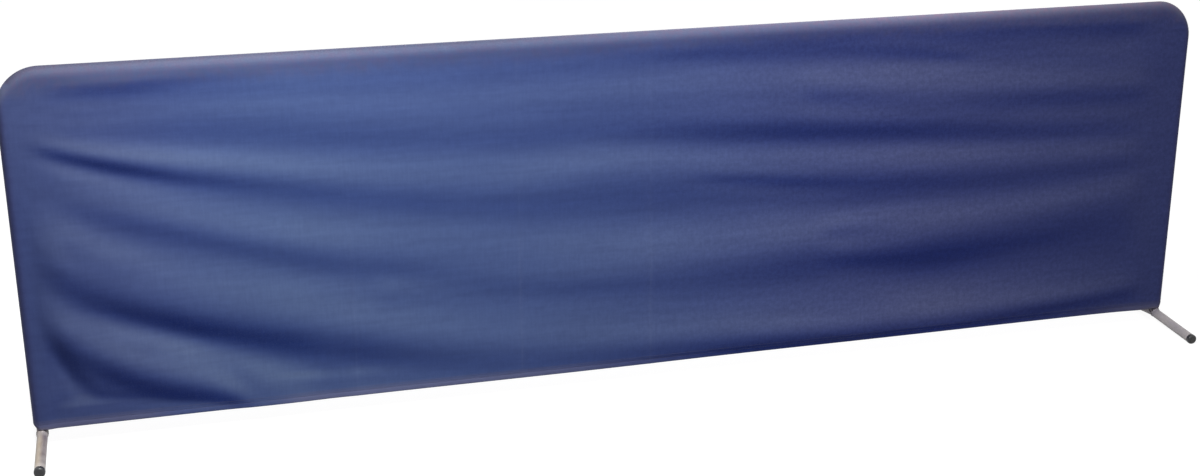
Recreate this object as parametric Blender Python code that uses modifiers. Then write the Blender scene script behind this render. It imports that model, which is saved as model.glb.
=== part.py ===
"""Table tennis barrier: a knock-down frame of round steel tube inside a cloth sleeve, on two swivelling feet.

Metres, +Z up. The front faces -Y, +X runs along the barrier, and the origin is on the floor under its middle.
Run with blender --background --python part.py, or from Blender's text editor.
"""

import math

import bmesh
import bpy
from mathutils import Matrix, Vector

# Overall size, measured over the cloth
BARRIER_WIDTH = 2.330
BARRIER_HEIGHT = 0.700
GROUND_GAP = 0.032  # floor to the cloth's lower edge: a 40 mm ball can't roll under it

# Clearances
SEAT_GAP = 0.0003  # between pieces that touch or turn in each other
CLOTH_GAP = 0.0008  # between the cloth and the tube that it is drawn over
CUT_OVERRUN = 0.002  # how far a cutter runs past what it cuts

# Frame tube, and the bottom rail that is welded between its uprights
FRAME_RADIUS = 0.0125
FRAME_WALL = 0.0012
FRAME_BEND_RADIUS = 0.062
RAIL_RADIUS = 0.010
RAIL_WALL = 0.0012
RAIL_ABOVE_MOUTH = 0.012  # from the upright's open lower end to the rail's underside

# Inner sleeves that join the two frame halves, and their screws
JOINT_WALL = 0.0015
TOP_JOINT_LENGTH = 0.160
RAIL_JOINT_LENGTH = 0.140
JOINT_SCREW_SHARE = 0.55  # of half the sleeve's length, from the middle to a screw
SCREW_RADIUS = 0.0019
SCREW_HEAD_RADIUS = 0.004
SCREW_HEAD_HEIGHT = 0.0022
SCREW_HEAD_TAPER_SHARE = 0.7  # of the head's radius, on its outer face
SCREW_REACH = 0.003  # past the sleeve's inner wall

# Foot tube: a stem that turns in the upright, a bend, and a prong to the front
FOOT_RADIUS = 0.0095
FOOT_WALL = 0.0015
FOOT_BEND_RADIUS = 0.020
FOOT_REACH = 0.150  # from the stem's axis to the end of a foot cap
FOOT_ROOT_HEIGHT = 0.0193  # of the prong's axis where the bend ends
REAR_ROOT_SHARE = 0.5  # of the bend radius: how far in front of the stem's axis the rear prong's cut starts
STEM_LENGTH = 0.105  # above the bend

# Foot cap: a rounded head with a spigot in the prong's end
CAP_RADIUS = 0.010
CAP_HEAD_LENGTH = 0.0095
CAP_ROUNDING = 0.0025
CAP_SPIGOT_LENGTH = 0.018
CAP_CHAMFER = 0.0015
CAP_FLAT_DEPTH = 0.0008  # how much of the head's underside is flattened where it stands

# Nylon bush in the upright's mouth, and nylon plug on the stem's top
BUSH_FLANGE_HEIGHT = 0.002
BUSH_LENGTH = 0.024
PLUG_COLLAR_HEIGHT = 0.006
PLUG_LENGTH = 0.016
PLUG_CHAMFER = 0.001

# Spring pin through the stem, whose end runs in a slot in the upright and stops the swivel
STOP_PIN_RADIUS = 0.0023
STOP_PIN_HEIGHT = 0.046  # above the stem's bend
STOP_PIN_SINK = 0.0003  # below the upright's outer face
SWIVEL_ANGLE = math.radians(90)

# Cloth sleeve: two panels sewn together along the top and the sides
CLOTH_THICKNESS = 0.0007
SEAM_GAP = 0.0003
NOTCH_WIDTH = 0.007  # of the slanting cut at each lower corner, where the stem comes out
NOTCH_HEIGHT = 0.022
WRAP_BULGE_SHARE = 0.018  # of the cloth's radius: how far the wrap's ridges stand out past its round
FOLD_DEPTH = 0.0065
FOLD_MARGIN = 0.055  # from the frame's inner side to where the folds have their full depth

# Closing flap under the rail, with its hook and loop tapes
FLAP_END_INSET = 0.034  # from the upright's axis to the flap's end
FLAP_SEW_HEIGHT = 0.016  # sewn depth on the back panel, above the rail's underside
FLAP_RAIL_GAP = 0.0018
FLAP_ROUNDING = 0.003
FLAP_LIP_RISE = 0.0015  # from the cloth's lower edge to the flap's lip
TAPE_THICKNESS = 0.0008
TAPE_RISE = 0.0025  # from the cloth's lower edge to the tapes

# Mesh fineness
TUBE_SIDES = 24
PIN_SIDES = 16
BEND_STEPS = 8
SLOT_STEPS = 16
CLOTH_WRAP_STEPS = 3
CLOTH_CORNER_STEPS = 4
CLOTH_COLUMNS = 8
CLOTH_ROWS = 17
FLAP_BEND_STEPS = 3
SMOOTH_ANGLE = math.radians(40)
MERGE_SHARE = 0.001  # of a piece's radius

# The folds on the front, from the photograph: points as shares (along the width, down the height), then
# the depth as a share of FOLD_DEPTH, and the half width as a share of the cloth's height.
# The cloth stands out above such a line and falls in below it.
FOLD_LINE_SHARES = [
    ([(0.02, 0.215), (0.11, 0.310), (0.28, 0.415), (0.42, 0.470), (0.50, 0.485)], 0.75, 0.044),
    ([(0.05, 0.400), (0.13, 0.490), (0.24, 0.585), (0.34, 0.635), (0.50, 0.660)], 0.55, 0.045),
    ([(0.02, 0.590), (0.13, 0.735), (0.24, 0.855), (0.36, 0.905), (0.55, 0.930)], 1.00, 0.050),
    ([(0.02, 0.720), (0.05, 0.850), (0.10, 0.920), (0.15, 0.960)], 0.80, 0.040),
    ([(0.53, 0.280), (0.65, 0.312), (0.76, 0.345), (0.90, 0.385)], 0.75, 0.042),
    ([(0.55, 0.430), (0.66, 0.490), (0.76, 0.520), (0.90, 0.500)], 0.70, 0.044),
    ([(0.66, 0.740), (0.76, 0.750), (0.86, 0.710), (0.96, 0.600)], 0.85, 0.048),
    ([(0.60, 0.945), (0.75, 0.950), (0.88, 0.945), (0.97, 0.925)], 0.60, 0.030),
    ([(0.30, 0.080), (0.50, 0.072), (0.70, 0.085), (0.92, 0.080)], 0.40, 0.032),
]
FOLD_START_SHARE = 0.06  # of the width, in which a fold comes up to its depth
FOLD_END_SHARE = 0.10  # of the width, in which it fades
BACK_FOLD_SHARE = 0.8  # depth of the back panel's folds, which run the other way

# What follows from these sizes
CLOTH_RADIUS = FRAME_RADIUS + CLOTH_GAP + CLOTH_THICKNESS  # from a tube's axis to the cloth's outer face
UPRIGHT_X = BARRIER_WIDTH / 2 - CLOTH_RADIUS
TOP_RAIL_Z = BARRIER_HEIGHT - CLOTH_RADIUS
CLOTH_HEIGHT = BARRIER_HEIGHT - GROUND_GAP
CLOTH_CORNER_RADIUS = FRAME_BEND_RADIUS + CLOTH_RADIUS
FRAME_BORE = FRAME_RADIUS - FRAME_WALL
CAP_SHOULDER_Y = FOOT_REACH - CAP_HEAD_LENGTH
TIP_HEIGHT = CAP_RADIUS - CAP_FLAT_DEPTH
FOOT_SLOPE = math.atan((FOOT_ROOT_HEIGHT - TIP_HEIGHT) / (FOOT_REACH - FOOT_BEND_RADIUS))
FOOT_BEND_ANGLE = math.pi / 2 - FOOT_SLOPE
BEND_END_Y = FOOT_BEND_RADIUS * (1 - math.cos(FOOT_BEND_ANGLE))
BEND_END_Z = TIP_HEIGHT + (FOOT_REACH - BEND_END_Y) * math.tan(FOOT_SLOPE)
STEM_FOOT_Z = BEND_END_Z + FOOT_BEND_RADIUS * math.sin(FOOT_BEND_ANGLE)
STEM_TOP_Z = STEM_FOOT_Z + STEM_LENGTH
BUSH_FOOT_Z = STEM_FOOT_Z + SEAT_GAP * 2
MOUTH_Z = BUSH_FOOT_Z + BUSH_FLANGE_HEIGHT + SEAT_GAP
RAIL_Z = MOUTH_Z + RAIL_ABOVE_MOUTH + RAIL_RADIUS
STOP_PIN_Z = STEM_FOOT_Z + STOP_PIN_HEIGHT


def clear_scene():
    for item in list(bpy.data.objects):
        bpy.data.objects.remove(item)


def new_collection(name):
    made = bpy.data.collections.new(name)
    bpy.context.scene.collection.children.link(made)
    return made


def material(name, colour, roughness, metallic=0.0):
    made = bpy.data.materials.new(name)
    made.use_nodes = True
    shader = made.node_tree.nodes["Principled BSDF"]
    shader.inputs["Base Color"].default_value = (*colour, 1.0)
    shader.inputs["Roughness"].default_value = roughness
    shader.inputs["Metallic"].default_value = metallic
    made.diffuse_color = (*colour, 1.0)
    return made


clear_scene()
BARRIER = new_collection("table_tennis_barrier")
CUTTERS = new_collection("cutters")
ZINC_STEEL = material("zinc_plated_steel", (0.56, 0.54, 0.52), 0.38, 0.9)
GREY_STEEL = material("galvanised_tube", (0.60, 0.58, 0.56), 0.42, 0.85)
BLUE_CLOTH = material("navy_coated_polyester", (0.050, 0.070, 0.190), 0.55)
BLACK_TAPE = material("hook_and_loop_tape", (0.030, 0.032, 0.045), 0.9)
BLACK_PLASTIC = material("black_cap_plastic", (0.025, 0.024, 0.026), 0.5)
GREY_NYLON = material("grey_nylon", (0.45, 0.45, 0.46), 0.5)


def add_piece(name, mesh, finish, collection=BARRIER):
    mesh.name = name
    piece = bpy.data.objects.new(name, mesh)
    collection.objects.link(piece)
    if finish:
        mesh.materials.clear()
        mesh.materials.append(finish)
    return piece


def add_cutter(name, mesh):
    cutter = add_piece(name, mesh, None, CUTTERS)
    cutter.hide_render = True
    cutter.display_type = "WIRE"
    return cutter


def cut(piece, cutter):
    step = piece.modifiers.new(f"cut {cutter.name}", "BOOLEAN")
    step.operation = "DIFFERENCE"
    step.solver = "EXACT"
    step.object = cutter


def mesh_along(points, radius, sides, capped):
    """A round bar through the points, or an open tube surface where it isn't capped."""
    curve = bpy.data.curves.new("route", "CURVE")
    curve.dimensions = "3D"
    curve.fill_mode = "FULL"
    curve.bevel_depth = radius
    curve.bevel_resolution = (sides - 4) // 2
    curve.use_fill_caps = capped
    spline = curve.splines.new("POLY")
    spline.points.add(len(points) - 1)
    for point, place in zip(spline.points, points):
        point.co = (*place, 1.0)
    guide = bpy.data.objects.new("route", curve)
    CUTTERS.objects.link(guide)
    graph = bpy.context.evaluated_depsgraph_get()
    mesh = bpy.data.meshes.new_from_object(guide.evaluated_get(graph))
    bpy.data.objects.remove(guide)
    bpy.data.curves.remove(curve)
    shape = bmesh.new()
    shape.from_mesh(mesh)
    bmesh.ops.remove_doubles(shape, verts=shape.verts, dist=radius * MERGE_SHARE)
    shape.to_mesh(mesh)
    shape.free()
    mesh.shade_smooth()
    mesh.set_sharp_from_angle(angle=SMOOTH_ANGLE)
    return mesh


def thicken(piece, thickness, offset=-1):
    """Gives a surface its thickness, inwards or to both sides."""
    step = piece.modifiers.new("wall", "SOLIDIFY")
    step.thickness = thickness
    step.offset = offset
    step.use_even_offset = True


def add_tube(name, points, radius, wall, finish):
    """A real tube, open at both ends: the outer surface, thickened inwards by the wall."""
    tube = add_piece(name, mesh_along(points, radius, TUBE_SIDES, False), finish)
    thicken(tube, wall)
    return tube


def cylinder_mesh(radius, length, sides):
    """A cylinder that stands on the origin and reaches up +Z."""
    shape = bmesh.new()
    bmesh.ops.create_cone(
        shape, cap_ends=True, segments=sides, radius1=radius, radius2=radius, depth=length,
        matrix=Matrix.Translation((0, 0, length / 2)),
    )
    mesh = bpy.data.meshes.new("cylinder")
    shape.to_mesh(mesh)
    shape.free()
    return mesh


def box_mesh(low, high):
    low, high = Vector(low), Vector(high)
    shape = bmesh.new()
    bmesh.ops.create_cube(
        shape, size=1,
        matrix=Matrix.Translation((low + high) / 2) @ Matrix.Diagonal((*(high - low), 1)),
    )
    mesh = bpy.data.meshes.new("box")
    shape.to_mesh(mesh)
    shape.free()
    return mesh


def add_turned(name, profile, finish):
    """Turns a profile of (radius, height) points, which runs from the top down its outer side, about +Z."""
    mesh = bpy.data.meshes.new(name)
    ends = len(profile)
    closed = profile[0][0] > 0
    edges = [(n, n + 1) for n in range(ends - 1)] + ([(ends - 1, 0)] if closed else [])
    mesh.from_pydata([(radius, 0, height) for radius, height in profile], edges, [])
    piece = add_piece(name, mesh, finish)
    step = piece.modifiers.new("turn", "SCREW")
    step.axis = "Z"
    step.angle = math.tau
    step.steps = TUBE_SIDES
    step.render_steps = TUBE_SIDES
    step.use_merge_vertices = True
    step.merge_threshold = CAP_RADIUS * MERGE_SHARE
    step.use_smooth_shade = False
    return piece


def arc(centre, radius, start, turn, steps, place):
    """Points on an arc; place maps its flat (across, up) to a point of the model."""
    return [
        place(
            centre[0] + radius * math.cos(start + turn * n / steps),
            centre[1] + radius * math.sin(start + turn * n / steps),
        )
        for n in range(steps + 1)
    ]


def aim(direction):
    """The turn that takes +Z to the direction."""
    return Vector(direction).to_track_quat("Z", "Y").to_matrix().to_4x4()


# Frame halves: each is one bent tube, upright and half the top rail


def frame_route(side):
    """The tube's axis, from the upright's open mouth, up and round the bend to the middle joint."""
    bend = arc(
        (UPRIGHT_X - FRAME_BEND_RADIUS, TOP_RAIL_Z - FRAME_BEND_RADIUS), FRAME_BEND_RADIUS,
        0, math.pi / 2, BEND_STEPS, lambda x, z: Vector((side * x, 0, z)),
    )
    return [
        Vector((side * UPRIGHT_X, 0, MOUTH_Z)),
        *bend,
        Vector((side * SEAT_GAP / 2, 0, TOP_RAIL_Z)),
    ]


def stop_slot_cutter(word, side):
    """A slot round the upright's inner side, as long as the swivel, for the stop pin's end."""
    radius = FRAME_RADIUS - FRAME_WALL / 2
    half = SWIVEL_ANGLE / 2 + (STOP_PIN_RADIUS + SEAT_GAP) / radius
    route = arc(
        (0, 0), radius, -half, 2 * half, SLOT_STEPS,
        lambda x, y: Vector((side * (UPRIGHT_X - x), y, STOP_PIN_Z)),
    )
    return add_cutter(f"stop_slot_{word}", mesh_along(route, STOP_PIN_RADIUS + SEAT_GAP, PIN_SIDES, True))


def screw_place(side, sleeve_length):
    return side * sleeve_length / 2 * JOINT_SCREW_SHARE


def screw_hole_cutter(name, x, face_z, up, depth):
    """A radial hole at x, from outside face_z inwards; up is +1 where the hole runs upwards."""
    mesh = cylinder_mesh(SCREW_RADIUS + SEAT_GAP, depth + CUT_OVERRUN, PIN_SIDES)
    half_side = Matrix.Rotation(math.pi / PIN_SIDES, 4, "Z")  # keeps its edges off the tube's ridge
    mesh.transform(Matrix.Translation((x, 0, face_z - up * CUT_OVERRUN)) @ aim((0, 0, up)) @ half_side)
    return add_cutter(name, mesh)


def add_frame_half(word, side):
    tube = add_tube(f"frame_tube_{word}", frame_route(side), FRAME_RADIUS, FRAME_WALL, GREY_STEEL)
    cut(tube, stop_slot_cutter(word, side))
    hole = screw_hole_cutter(
        f"top_screw_hole_{word}", screw_place(side, TOP_JOINT_LENGTH),
        TOP_RAIL_Z - FRAME_RADIUS, 1, FRAME_RADIUS,
    )
    cut(tube, hole)
    return hole


def add_rail_half(word, side):
    """Half the bottom rail, its outer end shaped to the upright that it is welded to."""
    route = [
        Vector((side * UPRIGHT_X, 0, RAIL_Z)),
        Vector((side * SEAT_GAP / 2, 0, RAIL_Z)),
    ]
    rail = add_tube(f"bottom_rail_{word}", route, RAIL_RADIUS, RAIL_WALL, GREY_STEEL)
    saddle = cylinder_mesh(FRAME_RADIUS + SEAT_GAP, 2 * RAIL_RADIUS + 2 * CUT_OVERRUN, TUBE_SIDES)
    saddle.transform(Matrix.Translation((side * UPRIGHT_X, 0, RAIL_Z - RAIL_RADIUS - CUT_OVERRUN)))
    cut(rail, add_cutter(f"rail_saddle_{word}", saddle))
    hole = screw_hole_cutter(
        f"rail_screw_hole_{word}", screw_place(side, RAIL_JOINT_LENGTH),
        RAIL_Z + RAIL_RADIUS, -1, RAIL_RADIUS,
    )
    cut(rail, hole)
    return hole


# Middle joints: an inner sleeve across each gap, and a screw through each half


def add_joint_sleeve(name, z, bore, length, holes):
    route = [Vector((-length / 2, 0, z)), Vector((length / 2, 0, z))]
    sleeve = add_tube(name, route, bore - SEAT_GAP, JOINT_WALL, ZINC_STEEL)
    for hole in holes:
        cut(sleeve, hole)


def screw_mesh(face_z, up, depth, x):
    """A pan head screw: its head on the tube's face at face_z, its shank through both walls."""
    shape = bmesh.new()
    bmesh.ops.create_cone(
        shape, cap_ends=True, segments=PIN_SIDES, radius1=SCREW_HEAD_RADIUS * SCREW_HEAD_TAPER_SHARE,
        radius2=SCREW_HEAD_RADIUS, depth=SCREW_HEAD_HEIGHT,
        matrix=Matrix.Translation((0, 0, -SCREW_HEAD_HEIGHT / 2 - SEAT_GAP)),
    )
    top = max(shape.faces, key=lambda face: face.calc_center_median().z)
    bmesh.ops.inset_individual(shape, faces=[top], thickness=SCREW_HEAD_RADIUS - SCREW_RADIUS)
    tip = bmesh.ops.extrude_discrete_faces(shape, faces=[top])["faces"][0]
    bmesh.ops.translate(shape, verts=tip.verts, vec=(0, 0, SEAT_GAP + depth + SCREW_REACH))
    mesh = bpy.data.meshes.new("screw")
    shape.to_mesh(mesh)
    shape.free()
    mesh.transform(Matrix.Translation((x, 0, face_z)) @ aim((0, 0, up)))
    return mesh


def add_joint_screws(name, face_z, up, depth, length):
    for word, side in SIDES:
        add_piece(f"{name}_{word}", screw_mesh(face_z, up, depth, screw_place(side, length)), ZINC_STEEL)


def build_frame():
    top_holes = [add_frame_half(word, side) for word, side in SIDES]
    rail_holes = [add_rail_half(word, side) for word, side in SIDES]
    add_joint_sleeve("top_joint_sleeve", TOP_RAIL_Z, FRAME_BORE, TOP_JOINT_LENGTH, top_holes)
    add_joint_sleeve("bottom_joint_sleeve", RAIL_Z, RAIL_RADIUS - RAIL_WALL, RAIL_JOINT_LENGTH, rail_holes)
    add_joint_screws(
        "top_joint_screw", TOP_RAIL_Z - FRAME_RADIUS, 1, FRAME_WALL + SEAT_GAP + JOINT_WALL, TOP_JOINT_LENGTH,
    )
    add_joint_screws(
        "bottom_joint_screw", RAIL_Z + RAIL_RADIUS, -1, RAIL_WALL + SEAT_GAP + JOINT_WALL, RAIL_JOINT_LENGTH,
    )


# Swivel: the nylon bush in each upright's mouth, the plug on the stem's top and the stop pin


def add_swivel_bush(word, side):
    inner, outer, flange = FOOT_RADIUS + SEAT_GAP, FRAME_BORE - SEAT_GAP, BUSH_FLANGE_HEIGHT
    bush = add_turned(
        f"swivel_bush_{word}",
        [(inner, BUSH_LENGTH), (outer, BUSH_LENGTH), (outer, flange), (FRAME_RADIUS, flange),
         (FRAME_RADIUS, 0), (inner, 0)],
        GREY_NYLON,
    )
    bush.location = (side * UPRIGHT_X, 0, BUSH_FOOT_Z)


def add_stem_plug(word, pivot):
    """A plug in the stem's top, whose collar keeps the stem in the middle of the upright."""
    collar, body = FRAME_BORE - SEAT_GAP, FOOT_RADIUS - FOOT_WALL - SEAT_GAP
    plug = add_turned(
        f"foot_stem_plug_{word}",
        [(0, PLUG_COLLAR_HEIGHT), (collar - PLUG_CHAMFER, PLUG_COLLAR_HEIGHT),
         (collar, PLUG_COLLAR_HEIGHT - PLUG_CHAMFER), (collar, SEAT_GAP), (body, SEAT_GAP),
         (body, PLUG_CHAMFER - PLUG_LENGTH), (body - PLUG_CHAMFER, -PLUG_LENGTH), (0, -PLUG_LENGTH)],
        GREY_NYLON,
    )
    plug.parent = pivot
    plug.location = (0, 0, STEM_TOP_Z)


def stop_pin_turn(side):
    """The pin points half the swivel's angle in front of the slot's middle when the foot is out."""
    return aim((-side * math.cos(SWIVEL_ANGLE / 2), -math.sin(SWIVEL_ANGLE / 2), 0))


def stop_pin_mesh(side, radius, low, high):
    mesh = cylinder_mesh(radius, high - low, PIN_SIDES)
    mesh.transform(Matrix.Translation((0, 0, low)))
    mesh.transform(Matrix.Translation((0, 0, STOP_PIN_Z)) @ stop_pin_turn(side))
    return mesh


def add_stop_pin(word, side, pivot):
    mesh = stop_pin_mesh(side, STOP_PIN_RADIUS, -FOOT_RADIUS, FRAME_RADIUS - STOP_PIN_SINK)
    pin = add_piece(f"foot_stop_pin_{word}", mesh, ZINC_STEEL)
    pin.parent = pivot


# Feet: the stem, bend and front prong are one tube, and the rear prong is welded to the bend's back


def foot_route():
    """The foot tube's axis about its swivel: down the stem, round the bend, and out along the front prong."""
    bend = arc(
        (-FOOT_BEND_RADIUS, STEM_FOOT_Z), FOOT_BEND_RADIUS, 0, -FOOT_BEND_ANGLE, BEND_STEPS,
        lambda y, z: Vector((0, y, z)),
    )
    return [Vector((0, 0, STEM_TOP_Z)), *bend, prong_point(-1, CAP_SHOULDER_Y)]


def prong_point(way, out):
    """A point on a prong's axis, out from the swivel; way is -1 in front and +1 behind."""
    return Vector((0, way * out, TIP_HEIGHT + (FOOT_REACH - out) * math.tan(FOOT_SLOPE)))


def add_foot_tubes(word, side, pivot):
    route = foot_route()
    tube = add_tube(f"foot_tube_{word}", route, FOOT_RADIUS, FOOT_WALL, GREY_STEEL)
    tube.parent = pivot
    reach = FOOT_RADIUS + CUT_OVERRUN
    hole = add_cutter(f"stop_pin_hole_{word}", stop_pin_mesh(side, STOP_PIN_RADIUS + SEAT_GAP, -reach, reach))
    hole.parent = pivot
    cut(tube, hole)
    saddle = add_cutter(f"foot_saddle_{word}", mesh_along(route, FOOT_RADIUS + SEAT_GAP, TUBE_SIDES, True))
    saddle.parent = pivot
    rear_route = [prong_point(1, -FOOT_BEND_RADIUS * REAR_ROOT_SHARE), prong_point(1, CAP_SHOULDER_Y)]
    rear = add_tube(f"foot_rear_tube_{word}", rear_route, FOOT_RADIUS, FOOT_WALL, GREY_STEEL)
    rear.parent = pivot
    cut(rear, saddle)


def add_foot_cap(name, pivot, way):
    """The cap in the end of a prong, with a flat where it stands on the floor."""
    spigot = FOOT_RADIUS - FOOT_WALL - SEAT_GAP
    head = CAP_HEAD_LENGTH
    rounding = [
        (CAP_RADIUS - CAP_ROUNDING * (1 - math.sin(turn)), head - CAP_ROUNDING * (1 - math.cos(turn)))
        for turn in (math.radians(angle) for angle in (0, 45, 90))
    ]
    cap = add_turned(
        name,
        [(0, head), *rounding, (CAP_RADIUS, SEAT_GAP), (spigot, SEAT_GAP),
         (spigot, CAP_CHAMFER - CAP_SPIGOT_LENGTH), (spigot - CAP_CHAMFER, -CAP_SPIGOT_LENGTH),
         (0, -CAP_SPIGOT_LENGTH)],
        BLACK_PLASTIC,
    )
    cap.parent = pivot
    outwards = prong_point(way, CAP_SHOULDER_Y) - prong_point(way, 0)
    cap.matrix_local = Matrix.Translation(prong_point(way, CAP_SHOULDER_Y)) @ aim(outwards)
    cut(cap, FLOOR)


def build_foot(word, side):
    """One foot about its swivel: an empty on the stem's axis carries every piece that turns with it."""
    pivot = bpy.data.objects.new(f"foot_{word}_swivel", None)
    BARRIER.objects.link(pivot)
    pivot.location = (side * UPRIGHT_X, 0, 0)
    add_foot_tubes(word, side, pivot)
    add_foot_cap(f"foot_cap_front_{word}", pivot, -1)
    add_foot_cap(f"foot_cap_rear_{word}", pivot, 1)
    add_stem_plug(word, pivot)
    add_stop_pin(word, side, pivot)
    add_swivel_bush(word, side)


# Cloth: each panel is a tray whose rim wraps half round the frame tube to the seam


def grid_lines(edge_lines, far, count):
    """The wrap and corner lines from an edge inwards, then even steps up to far."""
    last = edge_lines[-1]
    return edge_lines + [last + (far - last) * n / count for n in range(1, count + 1)]


def wrap_point(step):
    """Inset from the outline, and depth in front of the seam's plane, of a line on the cloth's wrap."""
    turn = math.pi / 2 * step / CLOTH_WRAP_STEPS
    bulge = 1 + WRAP_BULGE_SHARE if 0 < step < CLOTH_WRAP_STEPS else 1
    inset = CLOTH_RADIUS * (1 - bulge * math.cos(turn))
    rim_lean = math.pi / 4 / CLOTH_WRAP_STEPS
    rim_depth = SEAM_GAP / 2 + CLOTH_THICKNESS * math.sin(rim_lean)
    return inset, max(CLOTH_RADIUS * bulge * math.sin(turn), rim_depth)


def edge_lines():
    wrap = [wrap_point(step)[0] for step in range(CLOTH_WRAP_STEPS + 1)]
    corner = [
        CLOTH_RADIUS + FRAME_BEND_RADIUS * n / CLOTH_CORNER_STEPS for n in range(1, CLOTH_CORNER_STEPS + 1)
    ]
    return wrap + corner


def wrap_depth(line):
    """How far the cloth stands in front of the seam's plane, on a line of the grid counted from its edge."""
    return wrap_point(min(line, CLOTH_WRAP_STEPS))[1]


def round_corner(x, z):
    """Takes a point of a square-cornered tray to the round-cornered one, ring by ring."""
    centre_x = BARRIER_WIDTH / 2 - CLOTH_CORNER_RADIUS
    centre_z = BARRIER_HEIGHT - CLOTH_CORNER_RADIUS
    across, up = abs(x) - centre_x, z - centre_z
    if min(across, up) <= 0:
        return x, z
    reach = max(across, up)
    turn = math.pi / 4 * (up / across if across >= up else 2 - across / up)
    return math.copysign(centre_x + reach * math.cos(turn), x), centre_z + reach * math.sin(turn)


def line_height(points, along):
    """Height of a fold's line, as a share down the cloth, and how strongly it shows there."""
    first, last = points[0][0], points[-1][0]
    fade = min(max((along - first) / FOLD_START_SHARE, 0), max((last - along) / FOLD_END_SHARE, 0), 1)
    for (x0, z0), (x1, z1) in zip(points, points[1:]):
        if x0 <= along <= x1:
            return z0 + (z1 - z0) * (along - x0) / (x1 - x0), fade
    return 0, 0


def fold_offset(along, down):
    """Outward offset of the cloth, as a share of FOLD_DEPTH."""
    total = 0
    for points, depth_share, width_share in FOLD_LINE_SHARES:
        line, strength = line_height(points, along)
        if strength > 0:
            across = (line - down) / width_share
            total += depth_share * strength * across * math.exp((1 - across**2) / 2)
    return total


def add_panel(name, way, fold_share):
    """A cloth panel; way is -1 for the front and +1 for the back."""
    half = BARRIER_WIDTH / 2
    side_lines = grid_lines(edge_lines(), half, CLOTH_COLUMNS // 2)
    xs = [line - half for line in side_lines] + [half - line for line in reversed(side_lines[:-1])]
    calm_drop = BARRIER_HEIGHT - RAIL_Z - RAIL_RADIUS
    drops = [*grid_lines(edge_lines(), calm_drop, CLOTH_ROWS), CLOTH_HEIGHT]
    shape = bmesh.new()
    bmesh.ops.create_grid(shape, x_segments=len(xs) - 1, y_segments=len(drops) - 1, size=1)
    for vert in shape.verts:
        column = round((vert.co.x + 1) / 2 * (len(xs) - 1))
        row = round((1 - vert.co.y) / 2 * (len(drops) - 1))
        x, drop = xs[column], drops[row]
        inset = min(half - abs(x), drop)
        line = min(column, len(xs) - 1 - column, row)
        margin = min(inset - CLOTH_RADIUS, calm_drop - drop)
        calm = min(max(margin / FOLD_MARGIN, 0), 1)
        share = fold_share * fold_offset((half - way * x) / BARRIER_WIDTH, drop / CLOTH_HEIGHT)
        depth = wrap_depth(line) + FOLD_DEPTH * share * calm**2 * (3 - 2 * calm)
        round_x, round_z = round_corner(x, BARRIER_HEIGHT - drop)
        vert.co = (round_x, way * depth, round_z)
    shape.normal_update()
    if sum(face.normal.y * face.calc_area() for face in shape.faces) * way < 0:
        bmesh.ops.reverse_faces(shape, faces=shape.faces)
    mesh = bpy.data.meshes.new(name)
    shape.to_mesh(mesh)
    shape.free()
    mesh.shade_smooth()
    panel = add_piece(name, mesh, BLUE_CLOTH)
    thicken(panel, CLOTH_THICKNESS)
    for notch in NOTCHES:
        cut(panel, notch)


def corner_notch(word, side):
    """The cutter of the slanting cut at a lower corner of the sleeve."""
    slant = math.atan(NOTCH_WIDTH / NOTCH_HEIGHT)
    reach = 4 * CLOTH_RADIUS
    mesh = box_mesh((0, -reach, -reach), (reach, reach, reach))
    mesh.transform(
        Matrix.Translation((side * BARRIER_WIDTH / 2, 0, GROUND_GAP + NOTCH_HEIGHT))
        @ Matrix.Rotation(side * slant, 4, "Y")
        @ Matrix.Rotation(0 if side > 0 else math.pi, 4, "Z")
    )
    return add_cutter(f"corner_notch_{word}", mesh)


def add_strip(name, profile, thickness, finish):
    """A cloth strip along the barrier: an open profile of (y, z) points, swept along X and thickened."""
    half = UPRIGHT_X - FLAP_END_INSET
    shape = bmesh.new()
    start = [shape.verts.new((-half, y, z)) for y, z in profile]
    edges = [shape.edges.new(pair) for pair in zip(start, start[1:])]
    swept = bmesh.ops.extrude_edge_only(shape, edges=edges)["geom"]
    bmesh.ops.translate(
        shape, verts=[item for item in swept if isinstance(item, bmesh.types.BMVert)], vec=(2 * half, 0, 0)
    )
    mesh = bpy.data.meshes.new(name)
    shape.to_mesh(mesh)
    shape.free()
    thicken(add_piece(name, mesh, finish), thickness, 0)


def add_closure():
    """The flap sewn in the back panel runs under the rail to the front, where the two tapes meet."""
    sewn_y = CLOTH_RADIUS - CLOTH_THICKNESS * 3 / 2 - SEAT_GAP
    hook_y = -(CLOTH_RADIUS - CLOTH_THICKNESS - SEAT_GAP - TAPE_THICKNESS / 2)
    loop_y = hook_y + TAPE_THICKNESS + SEAT_GAP
    lip_y = loop_y + TAPE_THICKNESS / 2 + SEAT_GAP + CLOTH_THICKNESS / 2
    under_z = RAIL_Z - RAIL_RADIUS - FLAP_RAIL_GAP
    bend = FLAP_ROUNDING

    def flat_point(y, z):
        return y, z

    flap = (
        [(sewn_y, RAIL_Z - RAIL_RADIUS + FLAP_SEW_HEIGHT)]
        + arc((sewn_y - bend, under_z + bend), bend, 0, -math.pi / 2, FLAP_BEND_STEPS, flat_point)
        + arc((lip_y + bend, under_z - bend), bend, math.pi / 2, math.pi / 2, FLAP_BEND_STEPS, flat_point)
        + [(lip_y, GROUND_GAP + FLAP_LIP_RISE)]
    )
    add_strip("closure_flap", flap, CLOTH_THICKNESS, BLUE_CLOTH)
    tape_top = under_z - bend
    for name, y in (("closure_hook_tape", hook_y), ("closure_loop_tape", loop_y)):
        add_strip(name, [(y, tape_top), (y, GROUND_GAP + TAPE_RISE)], TAPE_THICKNESS, BLACK_TAPE)


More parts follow.
